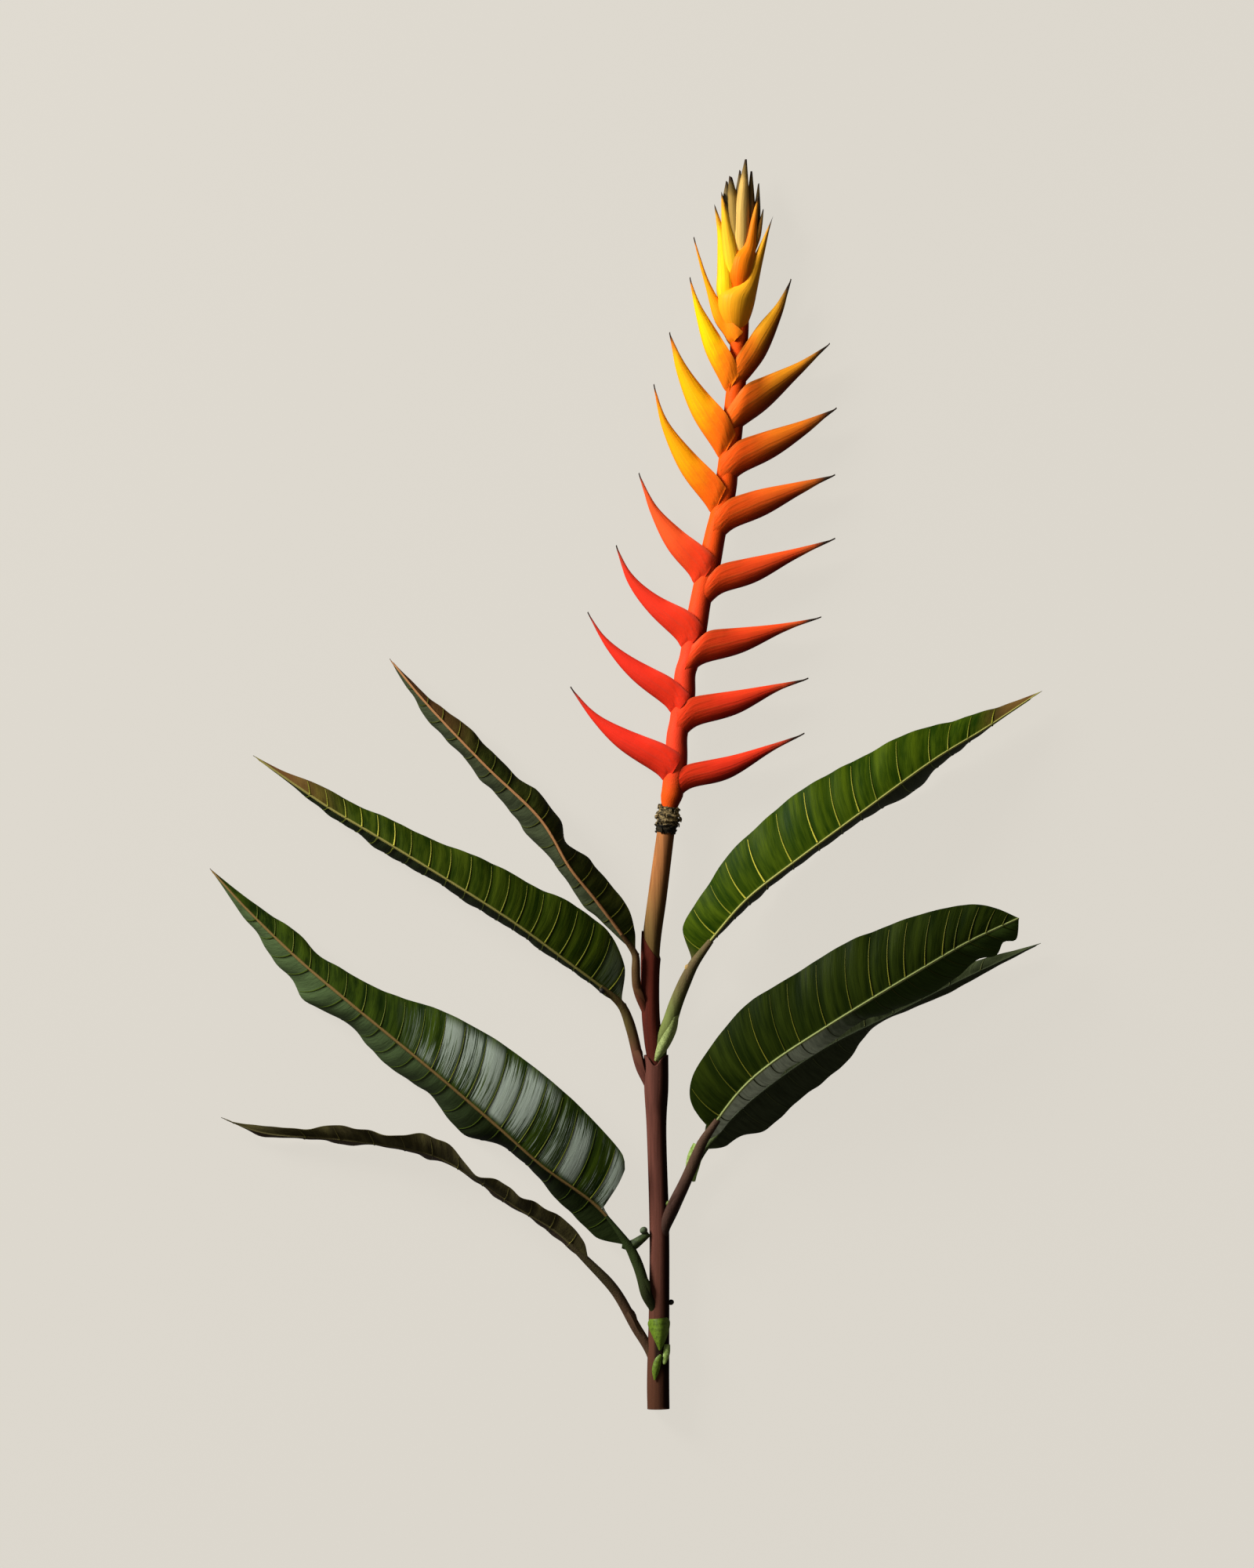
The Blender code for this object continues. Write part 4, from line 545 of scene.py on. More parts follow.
class HeliconiaStem(bpy.types.PropertyGroup):
    sides: IntProperty(name="Sides", description="Faces round each rod", default=48, min=8, max=128)
    brown: colour("Lower stem", "Purplish brown of the lower stem", (0.15, 0.052, 0.036))
    foot: colour("Foot of the stem", "Dark brown of the lower stem at its cut end", (0.09, 0.036, 0.018))
    red: colour("Sheath", "Dark red brown of the sheath round the flower stalk", (0.13, 0.024, 0.014))
    tan: colour("Flower stalk", "Tan of the flower stalk", (0.42, 0.16, 0.05))
    olive: colour("Stalk shade", "Olive of the lower flower stalk", (0.22, 0.13, 0.04))
    scale: colour("Bud scale", "Green of the bud scale", (0.13, 0.21, 0.015))


class HeliconiaStage(bpy.types.PropertyGroup):
    lens: number("Lens", "Focal length in millimetres on a 36 mm sensor", 200.0, 50.0, 500.0)
    tall: FloatProperty(name="View height", description="Height of the view on the surface", default=1.0,
                        min=0.2, max=5.0, subtype="DISTANCE", unit="LENGTH")
    floor: colour("Surface", "Colour of the surface and the surroundings", (0.723, 0.686, 0.617))
    glow: number("Surface glow", "Share of the surface's own light, which softens shadows", 0.95, 0.0, 1.0)
    key: number("Key light", "Power of the soft light from the upper left, in watts", 165.0, 0.0, 500.0)
    room: number("Room light", "Strength of the even light from all round", 0.17, 0.0, 2.0)
    fill: number("Fill light", "Power of the wide light overhead, in watts", 3.0, 0.0, 500.0)


def wired(operation, swap=False):
    """A sum or a product of wires, as an operator of their class."""
    return lambda self, other=None: self.math(operation, other, swap)


class Wire:
    """A socket of a material that works in sums and products."""

    def __init__(self, paint, socket):
        self.paint = paint
        self.socket = socket

    def math(self, operation, other=None, swap=False):
        pair = (other, self) if swap else (self, other)
        inputs = {place: value for place, value in enumerate(pair) if value is not None}
        return self.paint.node("ShaderNodeMath", {"operation": operation}, inputs)

    __add__ = __radd__ = wired("ADD")
    __sub__ = wired("SUBTRACT")
    __rsub__ = wired("SUBTRACT", swap=True)
    __mul__ = __rmul__ = wired("MULTIPLY")
    __abs__ = wired("ABSOLUTE")

    def step(self, low, high):
        """A smooth step from 0 at low to 1 at high."""
        inputs = {"Value": self, "From Min": min(low, high), "From Max": max(low, high),
                  "To Min": float(low > high), "To Max": float(low < high)}
        return self.paint.node("ShaderNodeMapRange", {"interpolation_type": "SMOOTHSTEP"}, inputs)


class Paint:
    """One procedural material."""

    def __init__(self, name):
        self.material = bpy.data.materials.new(name)
        self.material.use_nodes = True
        self.tree = self.material.node_tree
        self.shader = self.tree.nodes["Principled BSDF"]

    def feed(self, socket, value):
        if isinstance(value, Wire):
            self.tree.links.new(value.socket, socket)
        elif socket.type == "RGBA":
            socket.default_value = (*value[:3], 1.0)
        else:
            socket.default_value = value

    def node(self, kind, settings=None, inputs=None, output=0):
        made = self.tree.nodes.new(kind)
        for key, value in (settings or {}).items():
            setattr(made, key, value)
        for key, value in (inputs or {}).items():
            self.feed(made.inputs[key], value)
        return Wire(self, made.outputs[output])

    def own(self, *names):
        """Values kept on the points of the piece."""
        wires = [self.node("ShaderNodeAttribute", {"attribute_name": name}, output="Fac") for name in names]
        return wires if len(wires) > 1 else wires[0]

    def spot(self):
        """A point of the piece, in metres."""
        return self.node("ShaderNodeTexCoord", output="Object")

    def place(self):
        """The x, y and z of a point of the piece, in metres."""
        split = self.node("ShaderNodeSeparateXYZ", inputs={0: self.spot()})
        return [Wire(self, socket) for socket in split.socket.node.outputs]

    def point(self, x, y, z=0.0):
        return self.node("ShaderNodeCombineXYZ", inputs={0: x, 1: y, 2: z})

    def noise(self, where, scale=1.0, detail=2.0, rough=0.5):
        inputs = {"Vector": where, "Scale": scale, "Detail": detail, "Roughness": rough}
        return self.node("ShaderNodeTexNoise", inputs=inputs)

    def mix(self, share, first, second):
        return self.node("ShaderNodeMix", {"data_type": "RGBA"}, {0: share, 6: first, 7: second}, output=2)

    def painted_shade(self, base, grain, reach, share, dark):
        """The base with painted shade on the sides that face right and down, its border broken by a grain."""
        return self.mix((self.own("side") + grain).step(*reach) * share, base, dark)

    def done(self, base, rough, relief=None, height=0.0003, gloss=0.1, **constants):
        """Join colour, roughness and relief to the shader, and set what is the same all over."""
        self.feed(self.shader.inputs["Base Color"], base)
        self.feed(self.shader.inputs["Roughness"], rough)
        if relief is not None:
            bump = self.node("ShaderNodeBump", inputs={"Height": relief, "Distance": height})
            self.feed(self.shader.inputs["Normal"], bump)
        for key, value in {"Specular_IOR_Level": gloss, **constants}.items():
            self.shader.inputs[key.replace("_", " ")].default_value = value
        return self.material


def toned(tone, share, lift=0.0):
    """A tone made darker or lighter by a share, or by one for each of its red, green and blue."""
    shares = share if isinstance(share, tuple) else (share,) * 3
    return [min(1.0, part * value + lift) for part, value in zip(shares, tone)]


def metres(ends):
    return [end * MM for end in ends]


def veinlet_streaks(p, panel, across, settings):
    """Fine streaks between the main veins of a leaf."""
    return p.noise(p.point(panel * settings.veinlets, across * 1.3, 3.0), detail=3.0, rough=0.65)


def rib_band(p, across, run, outside, inside):
    """A band along the rib, which starts at outside and is full at inside, in metres from its middle."""
    return (abs(across) * p.own("wide")).step(outside, inside) * run.step(-0.002, 0.004)


def bloom_and_sheen_patches(p, panel, across, run, ends):
    """Silvery bloom and painted sheen in bands and fine streaks on the upper half of a leaf, off its veins
    and its edge.
    """
    start, end = metres(ends)
    inside = run.step(start - 0.01, start + 0.006) * run.step(end + 0.02, end - 0.03)
    part = panel.math("FLOOR")
    bands = p.noise(p.point(part * 5.37, across * 0.6, 11.0), detail=1.5)
    streaks = p.noise(p.point(panel * 16.0, across * 0.9, 5.0), detail=4.0, rough=0.75)
    silver_sheen = (bands * 0.9 + streaks * 0.9).step(0.84, 0.97) * inside * across.step(0.02, 0.12)
    return silver_sheen * (panel - part).step(0.0, 0.22) * across.step(1.02, 0.8)


def leaf_paint(name, look, settings):
    """Upper face of a leaf: dark and light stripes along the veins with painted shade at the veins, a silvery
    bloom with painted sheen, a paler lower half, the stalk.
    """
    p = Paint(name + "_upper")
    panel, across, run = p.own("panel", "across", "run")
    stripes = p.noise(p.point(panel * 3.1, across * 0.8), detail=3.0, rough=0.6)
    veinlets = veinlet_streaks(p, panel, across, settings)
    broad = p.noise(p.point(panel * 0.7, across * 1.2, 7.0), detail=1.0)
    light = (stripes * 0.8 + veinlets * 0.35 + broad * 0.25 - 0.2).step(0.3, 0.72)
    # Painted shade in the creases along the main veins: the light stripes fade towards each vein
    clear_of_vein_shade = abs(panel - panel.math("ROUND")).step(0.02, 0.3)
    green = p.mix(light * (0.45 + 0.55 * clear_of_vein_shade), look["dark"], look["light"])
    if "copper" in look:
        green = p.mix((run + stripes * 0.02).step(*metres(look["copper"])) * 0.6, green, COPPER)
    fine = veinlets.step(*VEINLET_EDGES)
    lower = p.mix(fine, toned(look["lower"], 0.55), look["lower"])
    if "lower_tip" in look:
        lower = p.mix((run + stripes * 0.03).step(*metres(look["turn"])), lower,
                      p.mix(fine, toned(look["lower_tip"], 0.6), look["lower_tip"]))
    green = p.mix(across.step(0.0, -0.06), green, lower)
    rough = 0.36 + veinlets * 0.2
    # Silvery bloom, partly real and partly a painted sheen of light on the upper half
    if "bloom_and_sheen" in look:
        silver_sheen = bloom_and_sheen_patches(p, panel, across, run, look["bloom_and_sheen"])
        green = p.mix(silver_sheen * look.get("bloom_and_sheen_share", 0.9), green, settings.bloom_and_sheen)
        rough = rough - silver_sheen * 0.08
    grain = p.noise(p.point(run * 60.0, across * 9.0), detail=3.0)
    stalk = p.mix(run.step(-0.03, -0.005), look["foot"], look["stalk"])
    stalk = p.mix(grain.step(0.3, 0.75) * 0.35, stalk, (0.02, 0.015, 0.008))
    base = p.mix(run.step(*BLADE_START), stalk, green)
    base = p.mix(rib_band(p, across, run, 0.0013, 0.0007) * 0.8, base, look["rib"])
    relief = veinlets * 0.6 + p.noise(p.point(panel * 30.0, across * 6.0, 2.0), detail=2.0) * 0.4
    return p.done(base, rough, relief, gloss=0.02)


def leaf_under_paint(name, look, settings):
    """Under face of a leaf, greyer and matte, with the fine veins raised."""
    p = Paint(name + "_under")
    panel, across, run = p.own("panel", "across", "run")
    veinlets = veinlet_streaks(p, panel, across, settings)
    pale = [0.25 * own + 0.75 * lower for own, lower in zip(settings.under, look["lower"])]
    green = p.mix(veinlets.step(0.3, 0.7), toned(pale, 0.6), pale)
    stalk = p.mix(run.step(-0.045, -0.008), look["foot"], look["stalk"])
    base = p.mix(run.step(*BLADE_START), stalk, green)
    base = p.mix(rib_band(p, across, run, 0.003, 0.0015) * 0.7, base, look["stalk"])
    return p.done(base, 0.5 + veinlets * 0.2, veinlets, 0.00025, gloss=0.04)


def vein_paint(name, look, settings):
    """The rib and the main veins, bright ones yellow and the others close to the green of the blade."""
    p = Paint(name + "_veins")
    base = p.mix(p.own("bright"), look["light"], settings.vein)
    base = p.mix(p.own("midrib"), base, look["rib"])
    grain = p.noise(p.spot(), 400.0)
    return p.done(p.mix(grain * 0.3, base, look["dark"]), 0.42, grain, 0.0001, gloss=0.08)


def leaf_stalk_paint(name, look):
    """A leaf's stalk: its own tone at the stem turning to the one at the blade, with fine long streaks and
    painted shade on its sides that face right and down.
    """
    p = Paint(name + "_stalk")
    x, y, z = p.place()
    grain = p.noise(p.point(x * 420.0, y * 60.0, z * 420.0), detail=3.0)
    speckle = p.noise(p.spot(), 1400.0)
    foot = look["foot"]
    base = p.mix((p.own("run") + grain * 0.012).step(-0.035, -0.004), foot, look["stalk"])
    base = p.mix(grain.step(0.35, 0.75) * 0.4, base, toned(foot, 0.45))
    base = p.mix(speckle.step(*SPECKLE) * 0.2, base, toned(foot, 1.6, 0.03))
    # Painted shade on the sides of the stalk that face right and down
    base = p.painted_shade(base, grain * 0.15, STALK_PAINTED_SHADE, 0.65, toned(foot, 0.15))
    return p.done(base, 0.45 + grain * 0.2, grain * 0.5 + speckle * 0.5, 0.0005, gloss=0.04)


def bract_paint(name, tones, tip, on_shaded_right=False):
    """A waxy bract: warmer at its foot, with faint long streaks, a thin rim, a dry point and painted shade on
    its sides that face right and down.

    A right one, on the shaded side, also has painted shade along its keel and a painted highlight towards its
    rims, and dries further down from its point.
    """
    body, foot, edge = tones
    share = SHADED_RIGHT_BRACT if on_shaded_right else BRIGHT_BRACT
    p = Paint(name)
    along, across = p.own("along", "across")
    off_keel = abs(across)
    spot = p.spot()
    streaks = p.noise(p.point(across * 14.0, along * 2.2), detail=3.0)
    mottle = p.noise(spot, 160.0, 3.0)
    speckle = p.noise(spot, 1500.0)
    base = p.mix((along + mottle * 0.16 - streaks * 0.1).step(0.02, 0.42), foot, body)
    base = p.mix(off_keel.step(0.34, 0.0) * 0.55 * along.step(0.75, 0.3), base, foot)
    base = p.mix(streaks.step(0.45, 0.75) * share["edge"], base, edge)
    base = p.mix(speckle.step(*SPECKLE) * 0.12, base, toned(body, 1.3, 0.05))
    if on_shaded_right:
        place = along + mottle * 0.2
        # Painted shade along the keel, which faces away from the light
        dark = (off_keel + mottle * 0.3).step(0.75, 0.15) * place.step(0.05, 0.35)
        base = p.mix(dark * 0.75, base, toned(body, (0.18, 0.1, 0.25)))
        # Painted highlight on the upper half towards the rims, where the light falls
        painted_rim_light = off_keel.step(0.4, 0.85) * place.step(0.25, 0.6)
        base = p.mix(painted_rim_light * 0.6, base, toned(body, (1.1, 1.6, 1.0)))
    # Painted shade on the sides of the bract that face right and down
    base = p.painted_shade(base, mottle * 0.2, BRACT_PAINTED_SHADE, share["dark"], (0.16 * body[0], 0.05 * body[1], 0.004))
    base = p.mix(off_keel.step(0.9, 1.0) * 0.6, base, edge)
    dry = share["dry"]
    base = p.mix((along + mottle * 0.1).step(0.8 - dry, 0.95 - dry) * 0.85, base, edge)
    base = p.mix((along + mottle * 0.06).step(0.93 - dry, 1.01 - dry / 2), base, tip)
    rough = 0.36 + mottle * 0.14 + along.step(0.85, 1.0) * 0.2
    return p.done(base, rough, streaks * 0.7 + mottle * 0.3, 0.0005, gloss=0.04)


def axis_paint(settings):
    """The axis of the spike: orange at its foot, red among the red bracts and orange above, with painted
    shade on its sides that face right and down.
    """
    p = Paint("spike_axis")
    y, spot = p.place()[1], p.spot()
    mottle = p.noise(spot, 120.0, 3.0)
    speckle = p.noise(spot, 1500.0)
    base = p.mix((y + mottle * 0.01).step(-0.004, 0.02), settings.axis_low, settings.axis_middle)
    base = p.mix((y + mottle * 0.03).step(0.09, 0.2), base, settings.axis_high)
    base = p.mix(speckle.step(*SPECKLE) * 0.1, base, (1.0, 0.25, 0.1))
    # Painted shade on the sides of the axis that face right and down
    base = p.painted_shade(base, mottle * 0.2, AXIS_PAINTED_SHADE, 0.88, (0.12, 0.005, 0.003))
    return p.done(base, 0.4 + mottle * 0.12, mottle * 0.5 + speckle * 0.5, 0.0004, gloss=0.04)


def bark_paint(name, low, high, change, blend, shaded=0.6, shade_under_scale=False):
    """A stem finish: one tone turning to another along the stem, with long streaks, fine speckles, painted
    shade on its sides that face right and down and, where asked, a painted shadow under the bud scale.
    """
    p = Paint(name)
    x, y, z = p.place()
    streaks = p.noise(p.point(x * 500.0, y * 18.0, z * 500.0), detail=3.0)
    speckle = p.noise(p.spot(), 1900.0, 3.0, 0.7)
    base = p.mix((y + streaks * blend).step(*change), low, high)
    # A painted shadow in the hollow under the bud scale
    if shade_under_scale:
        shadow_patch = 0.9
        for place, (middle, outside, inside) in ((y, SHADOW_UNDER_SCALE_Y), (x, SHADOW_UNDER_SCALE_X)):
            shadow_patch = shadow_patch * abs(place - middle).step(outside, inside)
        base = p.mix(shadow_patch, base, SHADOW_UNDER_SCALE_TONE)
    base = p.mix(streaks.step(0.35, 0.7) * 0.35, base, (0.02, 0.01, 0.008))
    base = p.mix(speckle.step(0.55, 0.8) * 0.3, base, (0.26, 0.12, 0.08))
    # Painted shade on the sides of the stem that face right and down
    base = p.painted_shade(base, streaks * 0.15, BARK_PAINTED_SHADE, shaded, (0.008, 0.003, 0.002))
    return p.done(base, 0.5 + streaks * 0.15, streaks * 0.6 + speckle * 0.4, 0.0005, gloss=0.015)


def plain_paint(name, base, dark, scale=350.0, rough=0.5):
    """A mottled finish for a small piece."""
    p = Paint(name)
    mottle = p.noise(p.spot(), scale, 4.0, 0.65)
    return p.done(p.mix(mottle.step(0.35, 0.7), base, dark), rough + mottle * 0.2, mottle, gloss=0.2)


def husk_paint():
    """Dry crackled husk, nearly black at the foot of the collar."""
    p = Paint("dry_collar")
    crackle = p.noise(p.spot(), 420.0, 4.0, 0.7)
    tone = p.mix(crackle.step(0.42, 0.62), (0.02, 0.016, 0.009), (0.34, 0.24, 0.1))
    tone = p.mix((p.place()[1] + crackle * 0.008).step(-0.019, -0.023) * 0.92, tone, (0.008, 0.007, 0.005))
    return p.done(tone, 0.6 + crackle * 0.2, crackle, 0.0008, gloss=0.08)


def unit(v):
    return v / np.maximum(np.linalg.norm(v, axis=-1, keepdims=True), 1e-9)


def run_along(line):
    """How far along a line of points each point lies."""
    return np.concatenate([[0], np.cumsum(np.linalg.norm(np.diff(line, axis=0), axis=1))])


def smooth(points, places):
    """A smooth curve through the given points, at a number of even places or at the given places."""
    data = np.array(points, dtype=float)
    ends = np.vstack([2 * data[0] - data[1], data, 2 * data[-1] - data[-2]])
    t = np.linspace(0, 1, 24, endpoint=False)[:, None]
    fine = []
    for i in range(1, len(ends) - 2):
        p0, p1, p2, p3 = ends[i - 1:i + 3]
        fine.append(0.5 * (2 * p1 + (p2 - p0) * t + (2 * p0 - 5 * p1 + 4 * p2 - p3) * t ** 2
                           + (3 * p1 - p0 - 3 * p2 + p3) * t ** 3))
    fine = np.vstack(fine + [ends[-2:-1]])
    run = run_along(fine[:, :3])
    places = np.linspace(0, 1, places) if isinstance(places, int) else places
    return np.column_stack([np.interp(places * run[-1], run, column) for column in fine.T])


def point_on(line, share):
    """The point at a share of the way along a line of even points."""
    places = np.linspace(0, 1, len(line))
    return np.array([np.interp(share, places, column) for column in line.T])


def row_at(grid, place):
    """A row of a grid of points, also between two of its rows."""
    low = int(place)
    share = place - low
    return (1 - share) * grid[low] + share * grid[min(low + 1, len(grid) - 1)]


def support_at(axis, y):
    """Centre and radius of a nearly straight axis at each height y."""
    table = smooth(axis, 160)
    return np.stack([np.interp(y, table[:, 1], column) for column in table.T], axis=-1)


def round_turns(sides):
    return 2 * np.pi * np.arange(sides) / sides


def ramp(value, start, length):
    """A smooth step from 0 to 1 over a length."""
    t = np.clip((value - start) / length, 0.0, 1.0)
    return t * t * (3 - 2 * t)


def push_out(points, axis, clear, seat=0.0):
    """Move points that lie too near an axis straight away from it, and those within seat down on it."""
    line = smooth(axis, 200)
    flat = points.reshape(-1, 3)
    nearest = np.argmin(np.linalg.norm(flat[:, None, :] - line[None, :, :3], axis=2), axis=1)
    centre, radius = line[nearest, :3], line[nearest, 3] + clear
    ahead = unit(line[np.minimum(nearest + 1, len(line) - 1), :3] - line[np.maximum(nearest - 1, 0), :3])
    away = flat - centre
    along = np.sum(away * ahead, axis=1, keepdims=True)
    away -= ahead * along
    distance = np.linalg.norm(away, axis=1)
    short = (distance < radius + seat) & (np.abs(along[:, 0]) < END_REACH)
    flat = flat + unit(away) * np.where(short, radius - distance, 0.0)[:, None]
    return flat.reshape(points.shape)


def sink_in(points, axis, share):
    """Points drawn by a share of the way towards the axis of the piece that carries them."""
    pull = (support_at(axis, points[..., 1])[..., :3] - points) * np.asarray(share)[..., None]
    pull[..., 1] = 0
    return points + pull


def eased(rows, first, last, rounds):
    """Rows of points with the ones from first to last drawn into a soft curve, round by round."""
    rows = rows.copy()
    for _ in range(rounds):
        rows[first:last] = (rows[first - 1:last - 1] + 2 * rows[first:last] + rows[first + 1:last + 1]) / 4
    return rows


def off_floor(points, height=LOWEST_UNDER):
    """Lift what lies lower than a height above the surface up to it."""
    points[..., 2] = np.maximum(points[..., 2], height)
    return points


def square_to(face, sign):
    """Unit vectors square to a grid of points."""
    return sign * unit(np.cross(np.gradient(face, axis=0), np.gradient(face, axis=1)))


def put(name, data):
    """A new object in the scene."""
    made = bpy.data.objects.new(name, data)
    bpy.context.scene.collection.objects.link(made)
    return made


def add_piece(name, verts, edges=(), faces=(), marks=None, slots=None, paints=()):
    """A mesh object from points in millimetres, smooth where it has faces, with values on its points."""
    mesh = bpy.data.meshes.new(name)
    mesh.from_pydata([tuple(v) for v in np.asarray(verts) * MM], edges, faces)
    for key, values in (marks or {}).items():
        layer = mesh.attributes.new(key, "FLOAT", "POINT")
        layer.data.foreach_set("value", np.asarray(values, dtype=np.float32))
    if slots is not None:
        mesh.polygons.foreach_set("material_index", np.asarray(slots, dtype=np.int32))
    if faces:
        mesh.shade_smooth()
    for paint in paints:
        mesh.materials.append(paint)
    return put(name, mesh)


def on_grid(values, shape):
    """Values for each point of a grid, from those of its rows or of its columns."""
    return np.broadcast_to(values, shape).reshape(-1)


def thick_sheet(name, face, under, flip, marks, paints):
    """A closed sheet between two grids of points; its second material is for the under grid."""
    count, width = face.shape[:2]
    total = count * width
    faces, slots = [], []
    for i in range(count - 1):
        for j in range(width - 1):
            a, b = i * width + j, (i + 1) * width + j
            faces.append((a, b, b + 1, a + 1))
            faces.append((total + a + 1, total + b + 1, total + b, total + a))
            slots += [0, 1]
    around = list(range(width))
    around += [i * width + width - 1 for i in range(1, count)]
    around += [(count - 1) * width + j for j in range(width - 2, -1, -1)]
    around += [i * width for i in range(count - 2, 0, -1)]
    for here, there in zip(around, around[1:] + around[:1]):
        faces.append((here, there, total + there, total + here))
        slots.append(0)
    if flip:
        faces = [quad[::-1] for quad in faces]
    both = {key: np.tile(on_grid(value, (count, width)), 2) for key, value in marks.items()}
    verts = np.vstack([face.reshape(-1, 3), under.reshape(-1, 3)])
    made = add_piece(name, verts, (), faces, both, slots, paints)
    made.data.set_sharp_from_angle(angle=SHEET_EDGE)
    return made


def rings_piece(name, rings, paint=None, marks=None):
    """A closed solid through rings of points, with a point at each end."""
    count, sides = rings.shape[:2]
    verts = [*rings.reshape(-1, 3), rings[0].mean(axis=0), rings[-1].mean(axis=0)]
    faces = []
    for i in range(count - 1):
        for j in range(sides):
            a, b = i * sides + j, i * sides + (j + 1) % sides
            faces.append((a, b, b + sides, a + sides))
    first, last = count * sides, count * sides + 1
    for j in range(sides):
        faces.append((first, (j + 1) % sides, j))
        faces.append((last, (count - 1) * sides + j, (count - 1) * sides + (j + 1) % sides))
    full = {}
    for key, value in (marks or {}).items():
        flat = on_grid(value, (count, sides))
        full[key] = [*flat, flat[0], flat[-sides]]
    made = add_piece(name, verts, (), faces, full, paints=[paint] if paint else ())
    face_outward(made)
    return made


def face_outward(made):
    """Turn every face of a closed mesh outward."""
    work = bmesh.new()
    work.from_mesh(made.data)
    bmesh.ops.recalc_face_normals(work, faces=work.faces)
    work.to_mesh(made.data)
    work.free()


def join_pieces(name, parts):
    """One object from several, in the order given, with their materials and values kept."""
    base = parts[0]
    with bpy.context.temp_override(active_object=base, object=base, selected_editable_objects=parts,
                                   selected_objects=parts):
        bpy.ops.object.join()
    base.name = name
    base.data.name = name
    return base


def mark_shaded_sides(made):
    """Keep on each point how far it faces right and down, away from the key light, where shade is painted."""
    normals = np.empty(3 * len(made.data.vertices))
    made.data.vertex_normals.foreach_get("vector", normals)
    layer = made.data.attributes.new("side", "FLOAT", "POINT")
    layer.data.foreach_set("value", (normals.reshape(-1, 3) @ SHADED_SIDE).astype(np.float32))


def settle(made, slot, *nodes):
    """Mark how far each point faces the side given painted shade, let a finished piece ride on the flower and
    stand for its solids.
    """
    mark_shaded_sides(made)
    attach(made, "root")
    if nodes:
        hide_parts(*nodes)
    return made


def new_tree(name, *sockets):
    """An empty geometry tree with the named inputs and one geometry output, and its input sockets."""
    tree = bpy.data.node_groups.new(name, "GeometryNodeTree")
    for label, kind in sockets:
        tree.interface.new_socket(label, in_out="INPUT", socket_type="NodeSocket" + kind)
    tree.interface.new_socket("Made", in_out="OUTPUT", socket_type="NodeSocketGeometry")
    return tree, tree_node(tree, "NodeGroupInput").outputs


def tree_node(tree, kind, settings=None, inputs=None):
    made = tree.nodes.new(kind)
    for key, value in (settings or {}).items():
        setattr(made, key, value)
    for key, value in (inputs or {}).items():
        if isinstance(value, bpy.types.NodeSocket):
            tree.links.new(value, made.inputs[key])
        else:
            made.inputs[key].default_value = value
    return made


def close_tree(tree, last, paint):
    """Make the copies of a tree real, paint them and hand them out."""
    real = tree_node(tree, "GeometryNodeRealizeInstances", inputs={"Geometry": last})
    done = tree_node(tree, "GeometryNodeSetMaterial",
                     inputs={"Geometry": real.outputs["Geometry"], "Material": paint})
    tree_node(tree, "NodeGroupOutput", inputs={"Made": done.outputs["Geometry"]})
    return tree


def rod_tree():
    """A round rod along each path of the mesh, as thick as the path's own points say."""
    tree, given = new_tree("rods along paths", ("Paths", "Geometry"), ("Sides", "Int"), ("Paint", "Material"))
    line = tree_node(tree, "GeometryNodeMeshToCurve", inputs={"Mesh": given["Paths"]})
    thick = tree_node(tree, "GeometryNodeInputNamedAttribute", {"data_type": "FLOAT"}, {"Name": "thick"})
    ring = tree_node(tree, "GeometryNodeCurvePrimitiveCircle",
                     inputs={"Resolution": given["Sides"], "Radius": 1.0})
    rod = tree_node(tree, "GeometryNodeCurveToMesh",
                    inputs={"Curve": line.outputs["Curve"], "Profile Curve": ring.outputs["Curve"],
                            "Scale": thick.outputs["Attribute"], "Fill Caps": True})
    soft = tree_node(tree, "GeometryNodeSetShadeSmooth", inputs={"Geometry": rod.outputs["Mesh"]})
    return close_tree(tree, soft.outputs["Geometry"], given["Paint"])


def scatter_tree():
    """Copies of a small piece strewn over a surface, turned and sized by a seed."""
    tree, given = new_tree("scales strewn over a surface", ("Surface", "Geometry"), ("Scale piece", "Object"),
                           ("Density", "Float"), ("Seed", "Int"), ("Smallest", "Float"),
                           ("Largest", "Float"), ("Paint", "Material"))
    spots = tree_node(tree, "GeometryNodeDistributePointsOnFaces",
                      inputs={"Mesh": given["Surface"], "Density": given["Density"], "Seed": given["Seed"]})
    piece = tree_node(tree, "GeometryNodeObjectInfo", inputs={"Object": given["Scale piece"]})
    size = tree_node(tree, "FunctionNodeRandomValue", {"data_type": "FLOAT"},
                     {2: given["Smallest"], 3: given["Largest"], "Seed": given["Seed"]})
    turn = tree_node(tree, "FunctionNodeRandomValue", {"data_type": "FLOAT_VECTOR"},
                     {0: (-0.9, -0.9, 0.0), 1: (0.9, 0.9, 6.28), "Seed": given["Seed"]})
    tilt = tree_node(tree, "FunctionNodeRotateRotation", {"rotation_space": "LOCAL"},
                     {"Rotation": spots.outputs["Rotation"], "Rotate By": turn.outputs["Value"]})
    copies = tree_node(tree, "GeometryNodeInstanceOnPoints",
                       inputs={"Points": spots.outputs["Points"], "Instance": piece.outputs["Geometry"],
                               "Rotation": tilt.outputs["Rotation"], "Scale": size.outputs[1]})
    both = tree_node(tree, "GeometryNodeJoinGeometry", inputs={"Geometry": given["Surface"]})
    tree.links.new(copies.outputs["Instances"], both.inputs["Geometry"])
    return close_tree(tree, both.outputs["Geometry"], given["Paint"])


